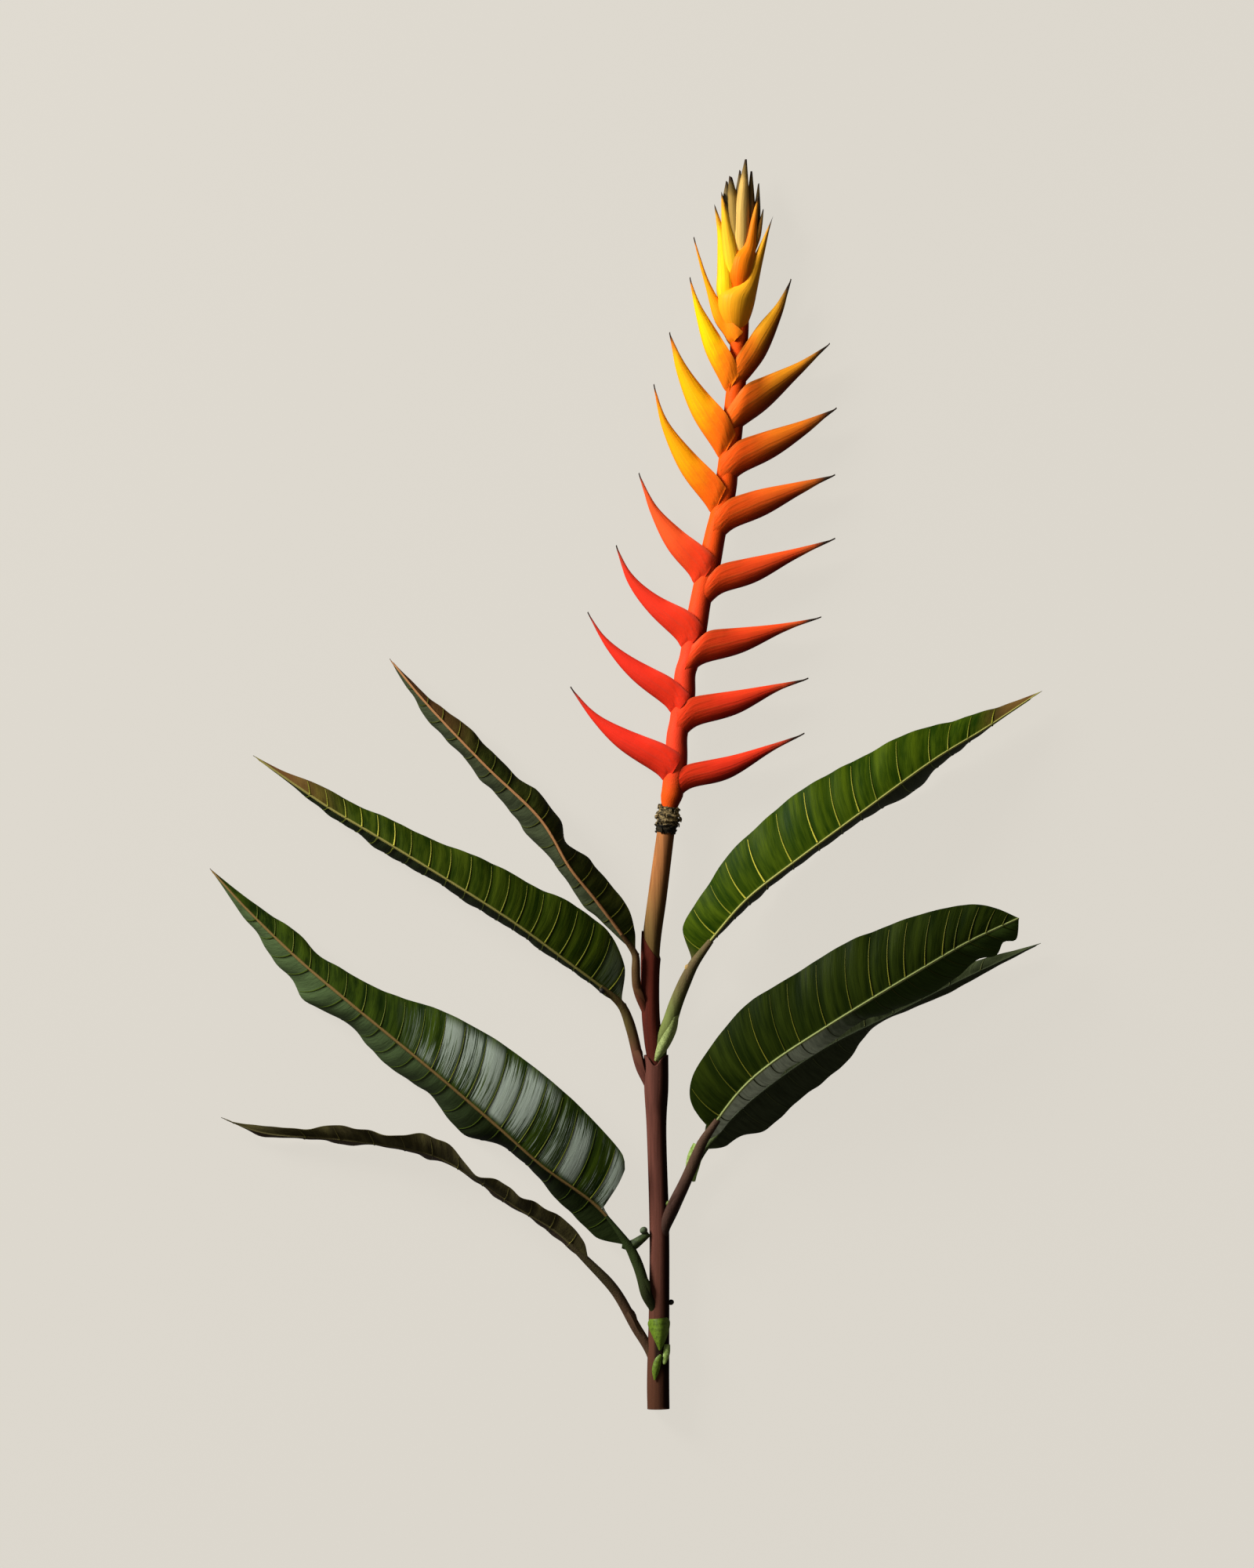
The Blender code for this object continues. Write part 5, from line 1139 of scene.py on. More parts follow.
def grow(made, tree, **values):
    """Run a geometry tree on an object and keep the result as its plain mesh."""
    step = made.modifiers.new(tree.name, "NODES")
    step.node_group = tree
    for item in tree.interface.items_tree:
        key = item.name.lower().replace(" ", "_")
        if item.in_out == "INPUT" and key in values:
            step[item.identifier] = values[key]
    bpy.context.view_layer.update()
    result = bpy.data.meshes.new_from_object(made.evaluated_get(bpy.context.evaluated_depsgraph_get()))
    made.modifiers.remove(step)
    made.data = result
    return made


def rods(name, paths, thickness, sides, paint, marks=None):
    """Rods made by the rod tree along chains of points, with a radius and other values on each point."""
    edges, start = [], 0
    for path in paths:
        edges += [(start + i, start + i + 1) for i in range(len(path) - 1)]
        start += len(path)
    values = {**(marks or {}), "thick": [thick * MM for thick in thickness]}
    values = {key: np.concatenate(rows) for key, rows in values.items()}
    tree = bpy.data.node_groups.get("rods along paths") or rod_tree()
    return grow(add_piece(name, np.vstack(paths), edges, marks=values), tree, sides=sides, paint=paint)


def axis_rod(name, axis, count, sides, paint):
    """One rod along a middle line with radii."""
    line = smooth(axis, count)
    return rods(name, [line[:, :3]], [line[:, 3]], sides, paint)


def edge_reach(rib, ways, edge):
    """From each point of the rib, the vector to where its vein meets the edge, as seen from above."""
    line = smooth(edge, 3000)
    reach = np.zeros_like(rib)
    for row, (start, way) in enumerate(zip(rib, ways)):
        off = line - start
        beside = off[:, 0] * way[1] - off[:, 1] * way[0]
        along = off[:, 0] * way[0] + off[:, 1] * way[1]
        hits = np.nonzero((beside[:-1] * beside[1:] <= 0) & (along[:-1] > GAP))[0]
        if len(hits):
            i = hits[np.argmax(along[hits])]
            share = beside[i] / (beside[i] - beside[i + 1]) if beside[i] != beside[i + 1] else 0.0
            reach[row] = off[i] + share * (off[i + 1] - off[i])
        else:
            reach[row, :2] = way * TIP_HALF_WIDTH
    return reach


def edge_waves(u, width, draw, height):
    """Waves along one edge of a blade, which fade towards its ends and where it is narrow."""
    fade = np.clip(8 * u, 0, 1) * np.clip(8 * (1 - u), 0, 1) * np.clip(width / WAVY_WIDTH, 0, 1)
    wave = sum(np.sin(2 * np.pi * (count * u + draw.random())) / count * WAVES for count in WAVE_COUNTS)
    return wave * height * fade / 1.6


def blade_faces(leaf, look, settings, seed):
    """Upper face of a blade and its marks; columns run from the lower edge over the rib to the upper."""
    u = np.linspace(0, 1, BLADE_ROWS) ** BASE_CROWDING
    rib = smooth(leaf["rib"], u)
    run = run_along(rib)
    veins = look["veins"]
    panel = np.interp(run, [0, *veins, max(run[-1], veins[-1]) + 15], range(len(veins) + 2))
    ahead = unit(np.gradient(rib, axis=0))
    plan = unit(ahead[:, :2])
    left = np.column_stack([-plan[:, 1], plan[:, 0]])
    forward = np.interp(u, *zip(*VEIN_LEAN))[:, None]
    even = np.linspace(-1, 1, LEAF_SPREAD)
    across = np.sign(even) * np.abs(even) ** COLUMN_CROWDING
    face = np.zeros((BLADE_ROWS, LEAF_SPREAD, 3))
    wide = np.zeros((BLADE_ROWS, LEAF_SPREAD))
    draw = random.Random(seed)
    for sign, edge in ((-1, "lower"), (1, "upper")):
        side = sign * leaf["side"]
        outline = [leaf["rib"][0], *leaf[edge], leaf["rib"][-1]]
        reach = edge_reach(rib, unit(side * left + forward * plan), outline)
        width = np.linalg.norm(reach, axis=1)
        lift = unit(side * np.cross(ahead, reach))
        wave = edge_waves(u, width, draw, look.get("ruffle", 1.0) * settings.ruffle / MM)
        pleat = (np.abs(np.sin(np.pi * panel)) ** PLEAT_ROUNDNESS - 0.5) * settings.pleat / MM
        pleat *= np.clip(width / PLEATED_WIDTH - 0.15, 0, 1) * np.clip(10 * u, 0, 1)
        bow = lift * BLADE_CROWN - ahead * VEIN_BOW
        middle = rib + reach / 2 + bow * width[:, None]
        for column in np.nonzero(across * sign >= 0)[0]:
            s = abs(across[column])
            point = (1 - s) ** 2 * rib + 2 * s * (1 - s) * middle + s ** 2 * (rib + reach)
            bulge = s ** 2 * wave + pleat * min(s / 0.15, 1.0) * (1.1 - 0.5 * s)
            ridge = RIDGE_HEIGHT * np.exp(-(s * width / RIDGE_WIDTH) ** 2) * np.clip(20 * u, 0, 1)
            face[:, column] = point + lift * (bulge + ridge)[:, None]
            wide[:, column] = width
    depth = leaf["rib_depth"] * (1 - RIB_TAPER * u)[:, None]
    depth = np.minimum(depth, 0.1 * (wide[:, :1] + wide[:, -1:]))
    wall = settings.blade_wall / MM
    away = np.abs(across) * wide * MM
    thick = wall + np.maximum(depth - wall, 0) * np.exp(-(away / settings.rib_width) ** 2)
    marks = {"run": run[:, None] * MM, "panel": panel[:, None], "across": across, "wide": wide * MM}
    return off_floor(face, LOWEST_FACE), thick, marks


def foot_path(leaf):
    """Points of the middle of the foot and stalk, the way out from the support, and the support's axis."""
    axis = STEM_AXIS if leaf["support"] == "stem" else STALK_AXIS
    turn = math.radians(leaf["angle"])
    out = np.array((math.cos(turn), 0.0, math.sin(turn)))
    hugging = []
    for y in np.linspace(*leaf["foot"], 3):
        centre = support_at(axis, y)
        hugging.append(centre[:3] + out * (centre[3] + FOOT_GAP))
    return smooth([*hugging, *leaf["stalk"], leaf["rib"][0]], STALK_ROWS + 1), out, axis


def stalk_faces(leaf, opened):
    """Upper face and thickness of a foot and stalk: a clasping tongue that rolls up to a grooved stalk."""
    path, out, axis = foot_path(leaf)
    side = leaf["side"]
    ahead = unit(np.gradient(path, axis=0))
    inner = unit(np.cross(ahead[-1], opened) * side)
    clasp = support_at(axis, leaf["foot"][1])[3] + GAP
    bore = STALK_BORE_SHARE * leaf["stalk_radius"]
    grown = leaf["stalk_radius"] - bore
    across = np.linspace(-1, 1, LEAF_SPREAD)
    face, thick = [], []
    for p, way, place in zip(path, ahead, np.linspace(0, 1, STALK_ROWS + 1)):
        turn = ramp(place, *FACE_TURN)
        normal = (1 - turn) * -out + turn * inner
        normal = unit(normal - way * np.dot(normal, way))
        beside = np.cross(normal, way) * side
        roll = ramp(place, *ROLL)
        radius = clasp + (bore - clasp) * roll
        curl = leaf["clasp"] * (FOOT_TAPER + (1 - FOOT_TAPER) * min(place / FOOT_TAPER_RUN, 1.0))
        curl += (STALK_CURL - curl) * roll ** 2
        curl += (OPEN_CURL - curl) * ramp(place, OPENING_START, 1 - OPENING_START)
        radial = np.outer(np.sin(across * curl), beside) - np.outer(np.cos(across * curl), normal)
        off = normal * (radius - bore * roll) + radial * radius
        row = p + off * (CLASP_NARROW + (1 - CLASP_NARROW) * roll)
        if place < STALK_FREE:
            row = push_out(row, axis, FOOT_GAP + roll * grown)
        face.append(sink_in(row, axis, LEAF_SINK * (1 - ramp(place, *LEAF_SINK_RUN))))
        thick.append(FOOT_WALL + (grown - FOOT_WALL) * roll * (1 - 0.5 * across ** 2))
    run = run_along(path[::-1])[::-1]
    return np.array(face), np.array(thick), -run * MM


def dress_leaf(name, leaf, settings, seed):
    """One leaf: its foot, grooved stalk and pleated blade as one sheet, and its rib and main veins on it."""
    look = LEAF_LOOKS[name]
    side = leaf["side"]
    slot = "leaf_dry" if name == "leaf_left_4" else "leaf_green"
    face, thick, marks = blade_faces(leaf, look, settings, seed)
    rows = np.linspace(0, 1, BLADE_ROWS) ** BASE_CROWDING
    opening = int(np.searchsorted(rows, OPENING_LENGTH))
    opened = face[opening + 1, -1] - face[opening + 1, 0]
    stalk, stalk_thick, stalk_run = stalk_faces(leaf, opened)
    middle = LEAF_SPREAD // 2
    for i in range(opening):
        share = ramp(i / opening, 0.0, 1.0)
        rolled = stalk[-1] + (face[i, middle] - stalk[-1, middle])
        face[i] = (1 - share) * rolled + share * face[i]
        thick[i] += max(1 - 1.6 * share, 0.0) * (stalk_thick[-1] - thick[i])
    full = np.concatenate([stalk[:-1], face])
    wall = np.concatenate([stalk_thick[:-1], thick])
    out = square_to(full, side)
    under = off_floor(full - out * wall[:, :, None])
    before = {"run": stalk_run[:-1, None], "panel": 0.0, "wide": 0.0,
              "across": np.linspace(-1, 1, LEAF_SPREAD)}
    grids = {key: np.concatenate([np.broadcast_to(before[key], (STALK_ROWS, LEAF_SPREAD)),
                                  np.broadcast_to(value, (BLADE_ROWS, LEAF_SPREAD))])
             for key, value in marks.items()}
    paints = leaf_paint(name, look, settings), leaf_under_paint(name, look, settings)
    blade = thick_sheet(name + "_blade", full, under, side < 0, grids, paints)
    blade = join_pieces(name + "_blade", [blade, leaf_stalk(name, leaf, look)])
    settle(blade, slot, name)
    veins = vein_rods(name, look, face, out[STALK_ROWS:], marks["run"][:, 0] / MM, settings, seed)
    settle(veins, slot, name)


def leaf_stalk(name, leaf, look):
    """The rounded back of a leaf's stalk, which sinks into the stem at its foot and into the rib above."""
    path, out, axis = foot_path(leaf)
    rib = smooth(leaf["rib"], np.linspace(0, 1, 120) ** 1.3)[1:16]
    path = sink_in(path, axis, LEAF_SINK * (1 - ramp(np.linspace(0, 1, len(path)), *LEAF_SINK_RUN)))
    line = smooth(np.concatenate([path[:-1:3], path[-1:], rib[2::4]]), STALK_LINE)
    line = eased(line, 1, STALK_LINE - 1, STALK_EASING)
    run = run_along(line)
    stalk_length = run_along(path)[-1]
    shares = (*look.get("foot_full", STALK_FOOT_SHARES), *STALK_TOP_SHARES)
    full = np.interp(run / stalk_length, STALK_PLACES, shares)
    thick = leaf["stalk_radius"] * full * look.get("stout", 1.0)
    line = off_floor(line, thick + LOWEST_UNDER)
    marks = {"run": [(run - stalk_length) * MM]}
    return rods(name + "_stalk", [line], [thick], STALK_SIDES, leaf_stalk_paint(name, look), marks)


def vein_rods(name, look, face, out, run, settings, seed):
    """The rib and the main veins of a blade as fine rods half sunk in its upper face."""
    middle = LEAF_SPREAD // 2
    draw = random.Random(seed + VEIN_SEED)
    base = settings.vein_width / MM
    paths, thickness, bright, midrib = [], [], [], []
    for place in look["veins"]:
        if place > run[-1] - TIP_WITHOUT_VEINS:
            continue
        strength = look["bright"] * (VEIN_DULLEST + (1 - VEIN_DULLEST) * draw.random())
        if "shine" in look:
            peak, spread = look["shine"]
            strength *= 0.55 + 0.9 * math.exp(-((place - peak) / spread) ** 2)
        row = np.interp(place, run, np.arange(len(run)))
        line, up = row_at(face, row), unit(row_at(out, row))
        for columns in (np.arange(middle + 2, LEAF_SPREAD - 1), np.arange(middle - 2, 0, -1)):
            if np.linalg.norm(line[columns[-1]] - line[columns[0]]) < SHORTEST_VEIN:
                continue
            outward = np.linspace(0, 1, len(columns))
            thin = base * (0.85 + 0.5 * min(strength, 1.0)) * (1 - VEIN_TAPER * outward)
            fade = strength * (1 - VEIN_FADE * outward)
            paths.append(line[columns] + up[columns] * VEIN_LIFT * thin[:, None])
            thickness.append(thin)
            bright.append(fade if columns[0] > middle else LOWER_VEIN_SHARE * fade)
            midrib.append(np.zeros(len(columns)))
    keep = slice(2, len(face) - 1, 2)
    thin = base * (RIB_ROD[0] - RIB_ROD[1] * np.linspace(0, 1, len(face)))[keep]
    paths.append(face[keep, middle] - out[keep, middle] * RIB_DROP * thin[:, None])
    thickness.append(thin)
    bright.append(np.full(len(thin), look["bright"]))
    midrib.append(np.ones(len(thin)))
    return rods(name + "_veins", paths, thickness, VEIN_SIDES, vein_paint(name, look, settings),
                {"bright": bright, "midrib": midrib})


def boat_rows(upper, keel, clasp, keel_clasp, shouldered):
    """The inside of a boat-shaped bract: rows from the foot to the tip, columns from rim to rim."""
    rim, floor = smooth(upper, BRACT_LINE), smooth(keel, BRACT_LINE)
    stations = np.concatenate([np.linspace(-1, 0, FOOT_ROWS, endpoint=False), np.linspace(0, 1, BOAT_ROWS)])
    rows = []
    for t in stations:
        held = max(-t, 0.0)
        top = point_on(rim, t) + held * (np.array(clasp) - rim[0])
        low = point_on(floor, t) + held * np.array(keel_clasp)
        if t < 0.99:
            across = unit(top - low)
        depth = max(np.linalg.norm(top - low), BRACT_TIP)
        wall = min(BRACT_WALL, depth / 4)
        curl = BRACT_FOOT_CURL + (BRACT_CURL - BRACT_FOOT_CURL) * ramp(t, 0.0, BRACT_CURL_RUN)
        angles = np.linspace(-curl, curl, BRACT_COLUMNS)
        rise = (1 - np.cos(angles)) / (1 - math.cos(curl)) * (depth - wall) + wall
        half = max(BRACT_FULLNESS * depth - wall, BRACT_TIP / 4)
        if shouldered:
            half *= (1 - FOOT_THIN_RIGHT * held) * (1 + FOOT_SHOULDER * (1 - ramp(t, 0.0, SHOULDER_RUN)))
        rows.append(np.column_stack([low + np.outer(rise, across), SPIKE_HEIGHT + half * np.sin(angles)]))
    return np.array(rows), stations


def seat_foot(inside, stations, across):
    """Hold a bract off the axis of the spike, seat its foot on it and sink its keel in."""
    inside = push_out(inside, RACHIS_AXIS, BRACT_CLEARANCE)
    seated = push_out(inside, RACHIS_AXIS, FOOT_CLEARANCE, seat=FOOT_SEAT)
    inside += ramp(-stations, *FOOT_SEATED)[:, None, None] * (seated - inside)
    sunk = np.outer(ramp(-stations, *FOOT_SINK_RUN), 1 - ramp(np.abs(across), 0.2, 0.6))
    return sink_in(inside, RACHIS_AXIS, sunk * FOOT_SINK)


def dress_bract(name, outline, side, tones, slot, settings):
    """One bract. A left one sits on the axis of the spike and a right one runs into it in a shoulder."""
    upper, keel, tip, clasp = outline
    on_shaded_right = side > 0
    if on_shaded_right:
        clasp = np.add(clasp, RIM_CLASP_RIGHT)
    inside, stations = boat_rows([*upper, tip], [*keel, tip], clasp,
                                 KEEL_CLASP_RIGHT if on_shaded_right else KEEL_CLASP_LEFT, on_shaded_right)
    inside = push_out(inside, BUD_CORE, BRACT_CLEARANCE)
    across = np.linspace(-1, 1, BRACT_COLUMNS)
    if not on_shaded_right:
        inside = seat_foot(inside, stations, across)
    inside = eased(inside, 3, FOOT_ROWS + 6, BRACT_EASING)
    wall = settings.lip + (settings.wall - settings.lip) * (1 - np.abs(across) ** 3)
    thin = np.interp(stations, WALL_PLACES, WALL_SHARES)
    outside = off_floor(inside + square_to(inside, side) * (np.outer(thin, wall) / MM)[:, :, None])
    paint = bract_paint(name, tones, settings.tip, on_shaded_right)
    bract = thick_sheet(name + "_boat", inside, outside, on_shaded_right,
                        {"along": stations[:, None], "across": across}, (paint, paint))
    return settle(bract, slot, name)


def bud_rings(outer, inner, shift, turns):
    """Rings of one small closed bract of the bud, folded to a keel on its outer side."""
    left, right = smooth(outer, BUD_LINE), smooth(inner, BUD_LINE)
    fold = 1 - BUD_FOLD * np.clip(np.cos(turns), 0, 1) ** 2
    rings = []
    for t in np.linspace(0, 1, BUD_ROWS):
        a, b = point_on(left, t), point_on(right, t)
        half = (b - a) / 2
        size = max(np.linalg.norm(half), BUD_TIP)
        plane = (a + b) / 2 + np.outer(np.cos(turns), unit(half) * size)
        height = SPIKE_HEIGHT + shift * (1 - t / 2) + BUD_FULLNESS * size * fold * np.sin(turns)
        rings.append(np.column_stack([plane, height]))
    return np.array(rings)


def dress_bud(settings):
    """The closed bud: small overlapping bracts on a short root."""
    turns = round_turns(BUD_SIDES)
    marks = {"along": np.linspace(0, 1, BUD_ROWS)[:, None], "across": np.sin(turns / 2)}
    parts = [axis_rod("bud_root", BUD_ROOT, BUD_ROOT_ROWS, BUD_SIDES, axis_paint(settings))]
    for number, (outer, inner, shift, body, foot) in enumerate(BUD_BRACTS):
        name = f"bud_{number}"
        edge = BUD_LARGE_EDGE if number < BUD_LARGE else BUD_SMALL_EDGE
        paint = bract_paint(name, (body, foot, edge), settings.tip)
        parts.append(rings_piece(name, bud_rings(outer, inner, shift, turns), paint, marks))
    return settle(join_pieces("closed_bud", parts), "bract_yellow", "apex_bud")


def tube_rings(axis, places, sides, extra=0.0):
    """Rings round an axis that runs nearly along Y, the first point of each on the +X side."""
    line = smooth(axis, places)
    ahead = unit(np.gradient(line[:, :3], axis=0))
    beside = unit(np.cross(ahead, (0.0, 0.0, 1.0)))
    up = np.cross(beside, ahead)
    turns = round_turns(sides)[None, :, None]
    spin = np.cos(turns) * beside[:, None] + np.sin(turns) * up[:, None]
    return line[:, None, :3] + spin * (line[:, 3] + extra)[:, None, None]


def shift_rim(rings, shift, power):
    """Shift the upper rim of a tube along Y, each place round it by its own amount, and less further down."""
    rings[:, :, 1] += np.linspace(0, 1, len(rings))[:, None] ** power * shift


def dress_stem(settings):
    """The lower stem: a tube of packed sheaths, cut square at its foot, with a notched mouth at its top."""
    turns = round_turns(settings.sides)
    outer = tube_rings(STEM_AXIS, STEM_ROWS, settings.sides)
    off = (turns - MOUTH_TURN + np.pi) % (2 * np.pi) - np.pi
    shift_rim(outer, -MOUTH_DEPTH * np.exp(-(off / MOUTH_WIDTH) ** 2), 6)
    centre = outer.mean(axis=1, keepdims=True)
    flute = 1 + FLUTE_DEPTH * np.sin(FLUTES * turns + 0.6)[None, :, None]
    outer = off_floor(centre + (outer - centre) * flute)
    cut = centre[:1] + (outer[:1] - centre[:1]) * 0.6
    inner = centre[-1:] + (outer[-1:] - centre[-1:]) * 0.93
    # The first and the last ring are doubled, which keeps both cut edges crisp
    rings = np.concatenate([cut, outer[:1], outer, outer[-1:], inner, inner - BORE_FLOOR])
    # The lower stem has painted shade on its sides that face right and down and a painted shadow under the
    # bud scale
    paint = bark_paint("lower_stem", settings.foot, settings.brown, (-0.4, -0.22), 0.06, 0.9, shade_under_scale=True)
    made = rings_piece("stem_rod", rings, paint)
    made.data.set_sharp_from_angle(angle=CUT_EDGE)
    return settle(made, "stem_brown", "lower_stem")


def bead(centre, radius, stretch, turn):
    """Rings of a small rounded lump, stretched along a direction in the plane of the surface."""
    rings = []
    for lat in np.linspace(0.02, 0.98, BEAD_RINGS) * math.pi:
        ring = []
        for lon in round_turns(BEAD_SIDES):
            local = np.array((math.cos(lat) * stretch, math.sin(lat) * math.cos(lon),
                              math.sin(lat) * math.sin(lon))) * radius
            ring.append((centre[0] + local[0] * math.cos(turn) - local[1] * math.sin(turn),
                         centre[1] + local[0] * math.sin(turn) + local[1] * math.cos(turn),
                         centre[2] + local[2]))
        rings.append(ring)
    return np.array(rings)


def pointed_scale(name, points, lift, paint):
    """A small leafy scale through a middle line of points with half-widths, cupped over the stem."""
    line = smooth(points, SCALE_ROWS)
    across = np.linspace(-1, 1, SCALE_COLUMNS)
    ahead = unit(np.gradient(line[:, :3], axis=0))
    beside = unit(np.cross(ahead, (0.0, 0.0, 1.0)))
    face = []
    for p, side, half in zip(line[:, :3], beside, line[:, 3]):
        row = p + np.outer(across * half, side)
        row[:, 2] += lift * (1 - across ** 2) * min(half / 3, 1.0) - SCALE_BEND * (across * half) ** 2
        face.append(row)
    face = np.array(face)
    under = face - square_to(face, 1) * SCALE_WALL
    made = thick_sheet(name, face, under, False, {"across": across}, (paint, paint))
    face_outward(made)
    return made


def dress_scales(settings):
    """The green bud scale on the front of the stem, the smaller scales, and the knobs on the stem."""
    green = tuple(settings.scale)
    finishes = {"scale_green": (green, toned(green, 0.5), 500.0, 0.42),
                "scale_pale": (SCALE_PALE, green, 500.0, 0.45), **SMALL_FINISHES}
    paints = {name: plain_paint(name, *finish) for name, finish in finishes.items()}
    scales = [pointed_scale(name, points, lift, paints[finish])
              for name, (finish, lift, points) in SMALL_SCALES.items()]
    settle(join_pieces("bud_scales", scales), "bud_green", "bud_scale")
    beads = [rings_piece(f"knob_{number}", bead(*shape), paints[finish])
             for number, (finish, *shape) in enumerate(KNOBS)]
    return settle(join_pieces("stem_knobs", beads), "bud_green")


def collar_rings(top, way):
    """Rings of the crumpled collar, torn unevenly by seeded draws."""
    draw = random.Random(COLLAR_SEED)
    side = unit(np.cross(way, (0.0, 0.0, 1.0)))
    up = np.cross(side, way)
    phases = [[draw.random() * 2 * math.pi for _ in range(5)] for _ in range(COLLAR_BANDS)]
    turns = round_turns(COLLAR_SIDES)
    spin = np.outer(np.cos(turns), side) + np.outer(np.sin(turns), up)
    rings = []
    for share in np.arange(COLLAR_ROWS) / (COLLAR_ROWS - 1):
        run = COLLAR_LENGTH * (share - 1.0) + COLLAR_RIM
        ridge = 0.5 - 0.5 * math.cos(2 * math.pi * COLLAR_RIDGES * share)
        swell = COLLAR_RIDGE + COLLAR_SWELL * math.sin(math.pi * share)
        mean = COLLAR_GROOVE + (swell - COLLAR_GROOVE) * ridge ** 1.5
        band = phases[int(share * COLLAR_RIDGES * 2 + 0.5)]
        tear = sum(np.sin(k * turns + band[k % 5]) / k for k in COLLAR_TEARS)
        slip = sum(high * np.sin(k * turns + phase) for (high, k), phase in zip(COLLAR_SLIPS, band))
        radius = 0.9 * mean + COLLAR_TEAR_HEIGHT * tear * (0.4 + ridge)
        rings.append(top + np.outer(run + slip * math.sin(math.pi * share), way) + radius[:, None] * spin)
    return np.array(rings)


def dry_collar():
    """The crumpled collar at the top of the flower stalk, strewn with dry flakes."""
    husk = husk_paint()
    top = np.array(STALK_AXIS[-1][:3])
    way = unit(top - np.array(STALK_AXIS[-2][:3]))
    collar = rings_piece("dry_collar", collar_rings(top, way))
    flake = pointed_scale("flake", FLAKE, 0.2, husk)
    flake.hide_render = True
    grow(collar, scatter_tree(), scale_piece=flake, paint=husk, **FLAKES)
    bpy.data.objects.remove(flake, do_unlink=True)
    return collar


def stalk_sheath(settings):
    """The red brown sheath round the foot of the flower stalk, with a slanting rim."""
    sheath = tube_rings(STALK_AXIS, SHEATH_PLACES, settings.sides, SHEATH_WALL)
    shift_rim(sheath, SHEATH_SLANT * np.cos(round_turns(settings.sides) - SHEATH_TURN), 4)
    centre = sheath[-1:].mean(axis=1, keepdims=True)
    inner = centre + (sheath[-1:] - centre) * 0.9
    paint = bark_paint("stalk_sheath", toned(settings.red, 0.6), settings.red, (-0.17, -0.11), 0.02)
    wrap = rings_piece("stalk_sheath", np.concatenate([sheath, inner]), paint)
    wrap.data.set_sharp_from_angle(angle=CUT_EDGE)
    return wrap


def dress_stalk(settings):
    """The flower stalk: a tan rod, the sheath round its foot and the dry collar at its top."""
    paint = bark_paint("flower_stalk", settings.olive, settings.tan, (-0.085, -0.03), 0.03)
    rod = axis_rod("stalk_rod", STALK_AXIS, STALK_ROD_ROWS, settings.sides, paint)
    parts = [rod, stalk_sheath(settings), dry_collar()]
    return settle(join_pieces("flower_stalk", parts), "stalk_tan", "peduncle")


def lay_surface(settings):
    """The pale surface, which gives part of its own light and so has soft shadows."""
    work = bmesh.new()
    bmesh.ops.create_grid(work, x_segments=2, y_segments=2, size=SURFACE_SIZE)
    mesh = bpy.data.meshes.new("surface")
    work.to_mesh(mesh)
    work.free()
    floor = put("surface", mesh)
    tone = tuple(settings.floor)
    mesh.materials.append(Paint("surface").done(
        toned(tone, 1 - settings.glow), 0.9, gloss=0.1, Emission_Color=(*tone, 1.0),
        Emission_Strength=settings.glow))
    floor.visible_diffuse = False
    floor.visible_glossy = False


def dress_stage(settings):
    """The pale surface, the camera straight above it, the key light from the upper left and the fill."""
    lay_surface(settings)

    lens = bpy.data.cameras.new("camera")
    lens.lens = settings.lens
    lens.sensor_width = SENSOR_WIDTH
    lens.clip_end = VIEW_END
    camera = put("camera", lens)
    camera.location = (0.0, 0.0, settings.lens / lens.sensor_width * settings.tall)
    bpy.context.scene.camera = camera

    for name, width, spot in LIGHTS:
        light = bpy.data.lights.new(name, "AREA")
        light.shape = "DISK"
        light.size = width
        light.energy = getattr(settings, name)
        lamp = put(name, light)
        lamp.location = spot
        lamp.rotation_euler = (-Vector(spot)).to_track_quat("-Z", "Y").to_euler()
        lamp.visible_glossy = name == "key"

    world = bpy.data.worlds.new("room")
    world.use_nodes = True
    back = world.node_tree.nodes["Background"]
    back.inputs["Color"].default_value = (*settings.floor, 1.0)
    back.inputs["Strength"].default_value = settings.room
    bpy.context.scene.world = world
    bpy.context.scene.view_settings.view_transform = "Standard"


class HELICONIA_OT_stem(bpy.types.Operator):
    """Dress the lower stem, its bud scales and its knobs"""
    bl_idname = "heliconia.stem"
    bl_label = "Lower stem"

    def execute(self, context):
        dress_stem(context.scene.heliconia_stem)
        dress_scales(context.scene.heliconia_stem)
        return {"FINISHED"}


class HELICONIA_OT_stalk(bpy.types.Operator):
    """Dress the flower stalk with its sheath and its dry collar"""
    bl_idname = "heliconia.stalk"
    bl_label = "Flower stalk"

    def execute(self, context):
        dress_stalk(context.scene.heliconia_stem)
        return {"FINISHED"}


class HELICONIA_OT_leaves(bpy.types.Operator):
    """Dress the seven leaves with their ribs and main veins"""
    bl_idname = "heliconia.leaves"
    bl_label = "Leaves"

    def execute(self, context):
        for seed, (name, leaf) in enumerate(LEAVES.items(), start=FIRST_LEAF_SEED):
            dress_leaf(name, leaf, context.scene.heliconia_leaves, seed)
        return {"FINISHED"}


class HELICONIA_OT_axis(bpy.types.Operator):
    """Dress the zigzag axis of the spike"""
    bl_idname = "heliconia.axis"
    bl_label = "Spike axis"

    def execute(self, context):
        paint = axis_paint(context.scene.heliconia_spike)
        rod = axis_rod("spike_axis", RACHIS_AXIS, AXIS_ROWS, AXIS_SIDES, paint)
        settle(rod, "bract_orange", "rachis")
        return {"FINISHED"}


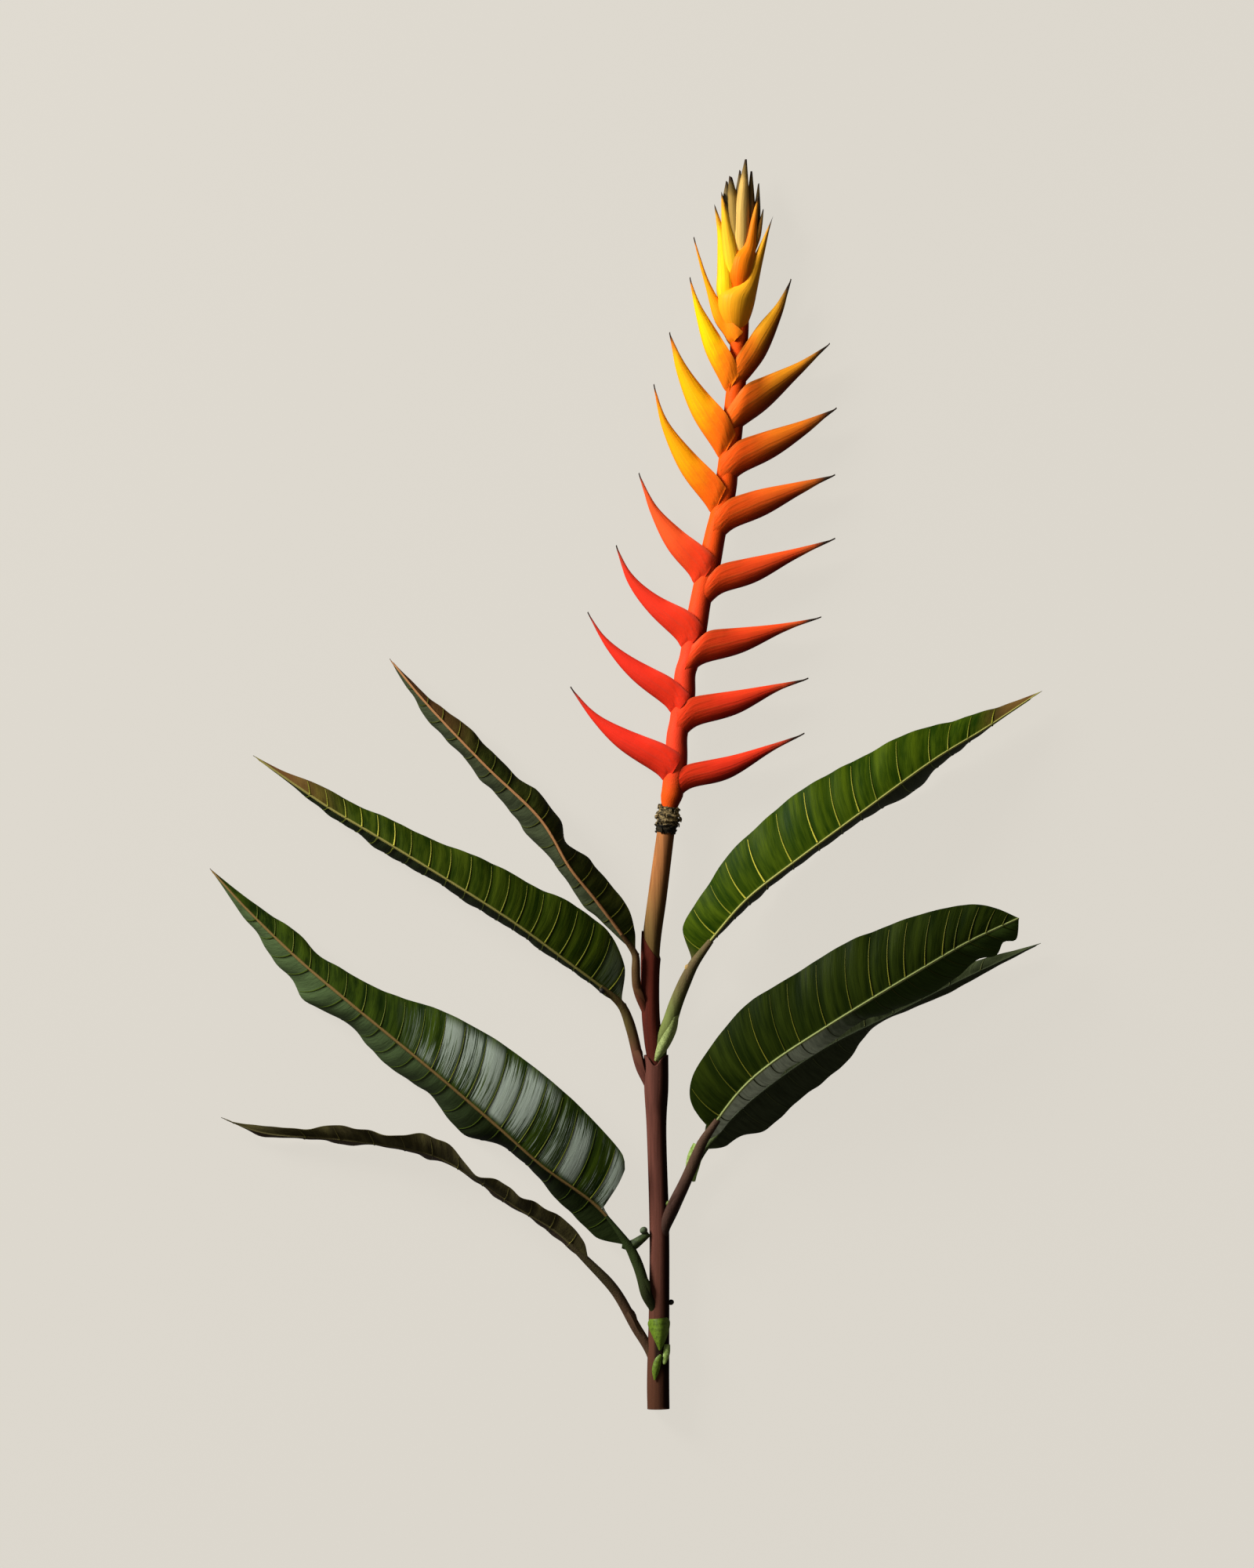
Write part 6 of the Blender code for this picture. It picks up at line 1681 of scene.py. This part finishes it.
class HELICONIA_OT_bracts(bpy.types.Operator):
    """Dress the eight open bracts on each side of the spike"""
    bl_idname = "heliconia.bracts"
    bl_label = "Bracts"

    def execute(self, context):
        sides = (("left", -1, LEFT_BRACTS, LEFT_TONES), ("right", 1, RIGHT_BRACTS, RIGHT_TONES))
        for place, slot in enumerate(BRACT_SLOTS):
            for word, side, outlines, tones in sides:
                dress_bract(f"bract_{word}_{place + 1}", outlines[place], side, tones[place], slot,
                            context.scene.heliconia_spike)
        return {"FINISHED"}


class HELICONIA_OT_bud(bpy.types.Operator):
    """Dress the closed bud at the tip of the spike"""
    bl_idname = "heliconia.bud"
    bl_label = "Closed bud"

    def execute(self, context):
        dress_bud(context.scene.heliconia_spike)
        return {"FINISHED"}


class HELICONIA_OT_stage(bpy.types.Operator):
    """Lay out the surface, the lights and the camera"""
    bl_idname = "heliconia.stage"
    bl_label = "Stage"

    def execute(self, context):
        dress_stage(context.scene.heliconia_stage)
        return {"FINISHED"}


OPERATORS = (HELICONIA_OT_stem, HELICONIA_OT_stalk, HELICONIA_OT_leaves, HELICONIA_OT_axis,
             HELICONIA_OT_bracts, HELICONIA_OT_bud, HELICONIA_OT_stage)
SETTINGS = {"heliconia_leaves": HeliconiaLeaves, "heliconia_spike": HeliconiaSpike,
            "heliconia_stem": HeliconiaStem, "heliconia_stage": HeliconiaStage}


class HELICONIA_PT_panel(bpy.types.Panel):
    """Sizes, colours and pieces of the flower"""
    bl_idname = "HELICONIA_PT_panel"
    bl_label = "Heliconia flower"
    bl_space_type = "VIEW_3D"
    bl_region_type = "UI"
    bl_category = "Heliconia"

    def draw(self, context):
        for item in OPERATORS:
            self.layout.operator(item.bl_idname)
        for key in SETTINGS:
            box = self.layout.box()
            group = getattr(context.scene, key)
            for field in group.bl_rna.properties:
                if field.identifier not in ("name", "rna_type"):
                    box.prop(group, field.identifier)


def register():
    for item in (*SETTINGS.values(), *OPERATORS, HELICONIA_PT_panel):
        bpy.utils.register_class(item)
    for key, group in SETTINGS.items():
        setattr(bpy.types.Scene, key, PointerProperty(type=group))


def unregister():
    for key in SETTINGS:
        delattr(bpy.types.Scene, key)
    for item in (HELICONIA_PT_panel, *reversed(OPERATORS), *SETTINGS.values()):
        bpy.utils.unregister_class(item)


def main():
    register()
    for item in OPERATORS:
        group, action = item.bl_idname.split(".")
        getattr(getattr(bpy.ops, group), action)()


if __name__ == "__main__":
    main()
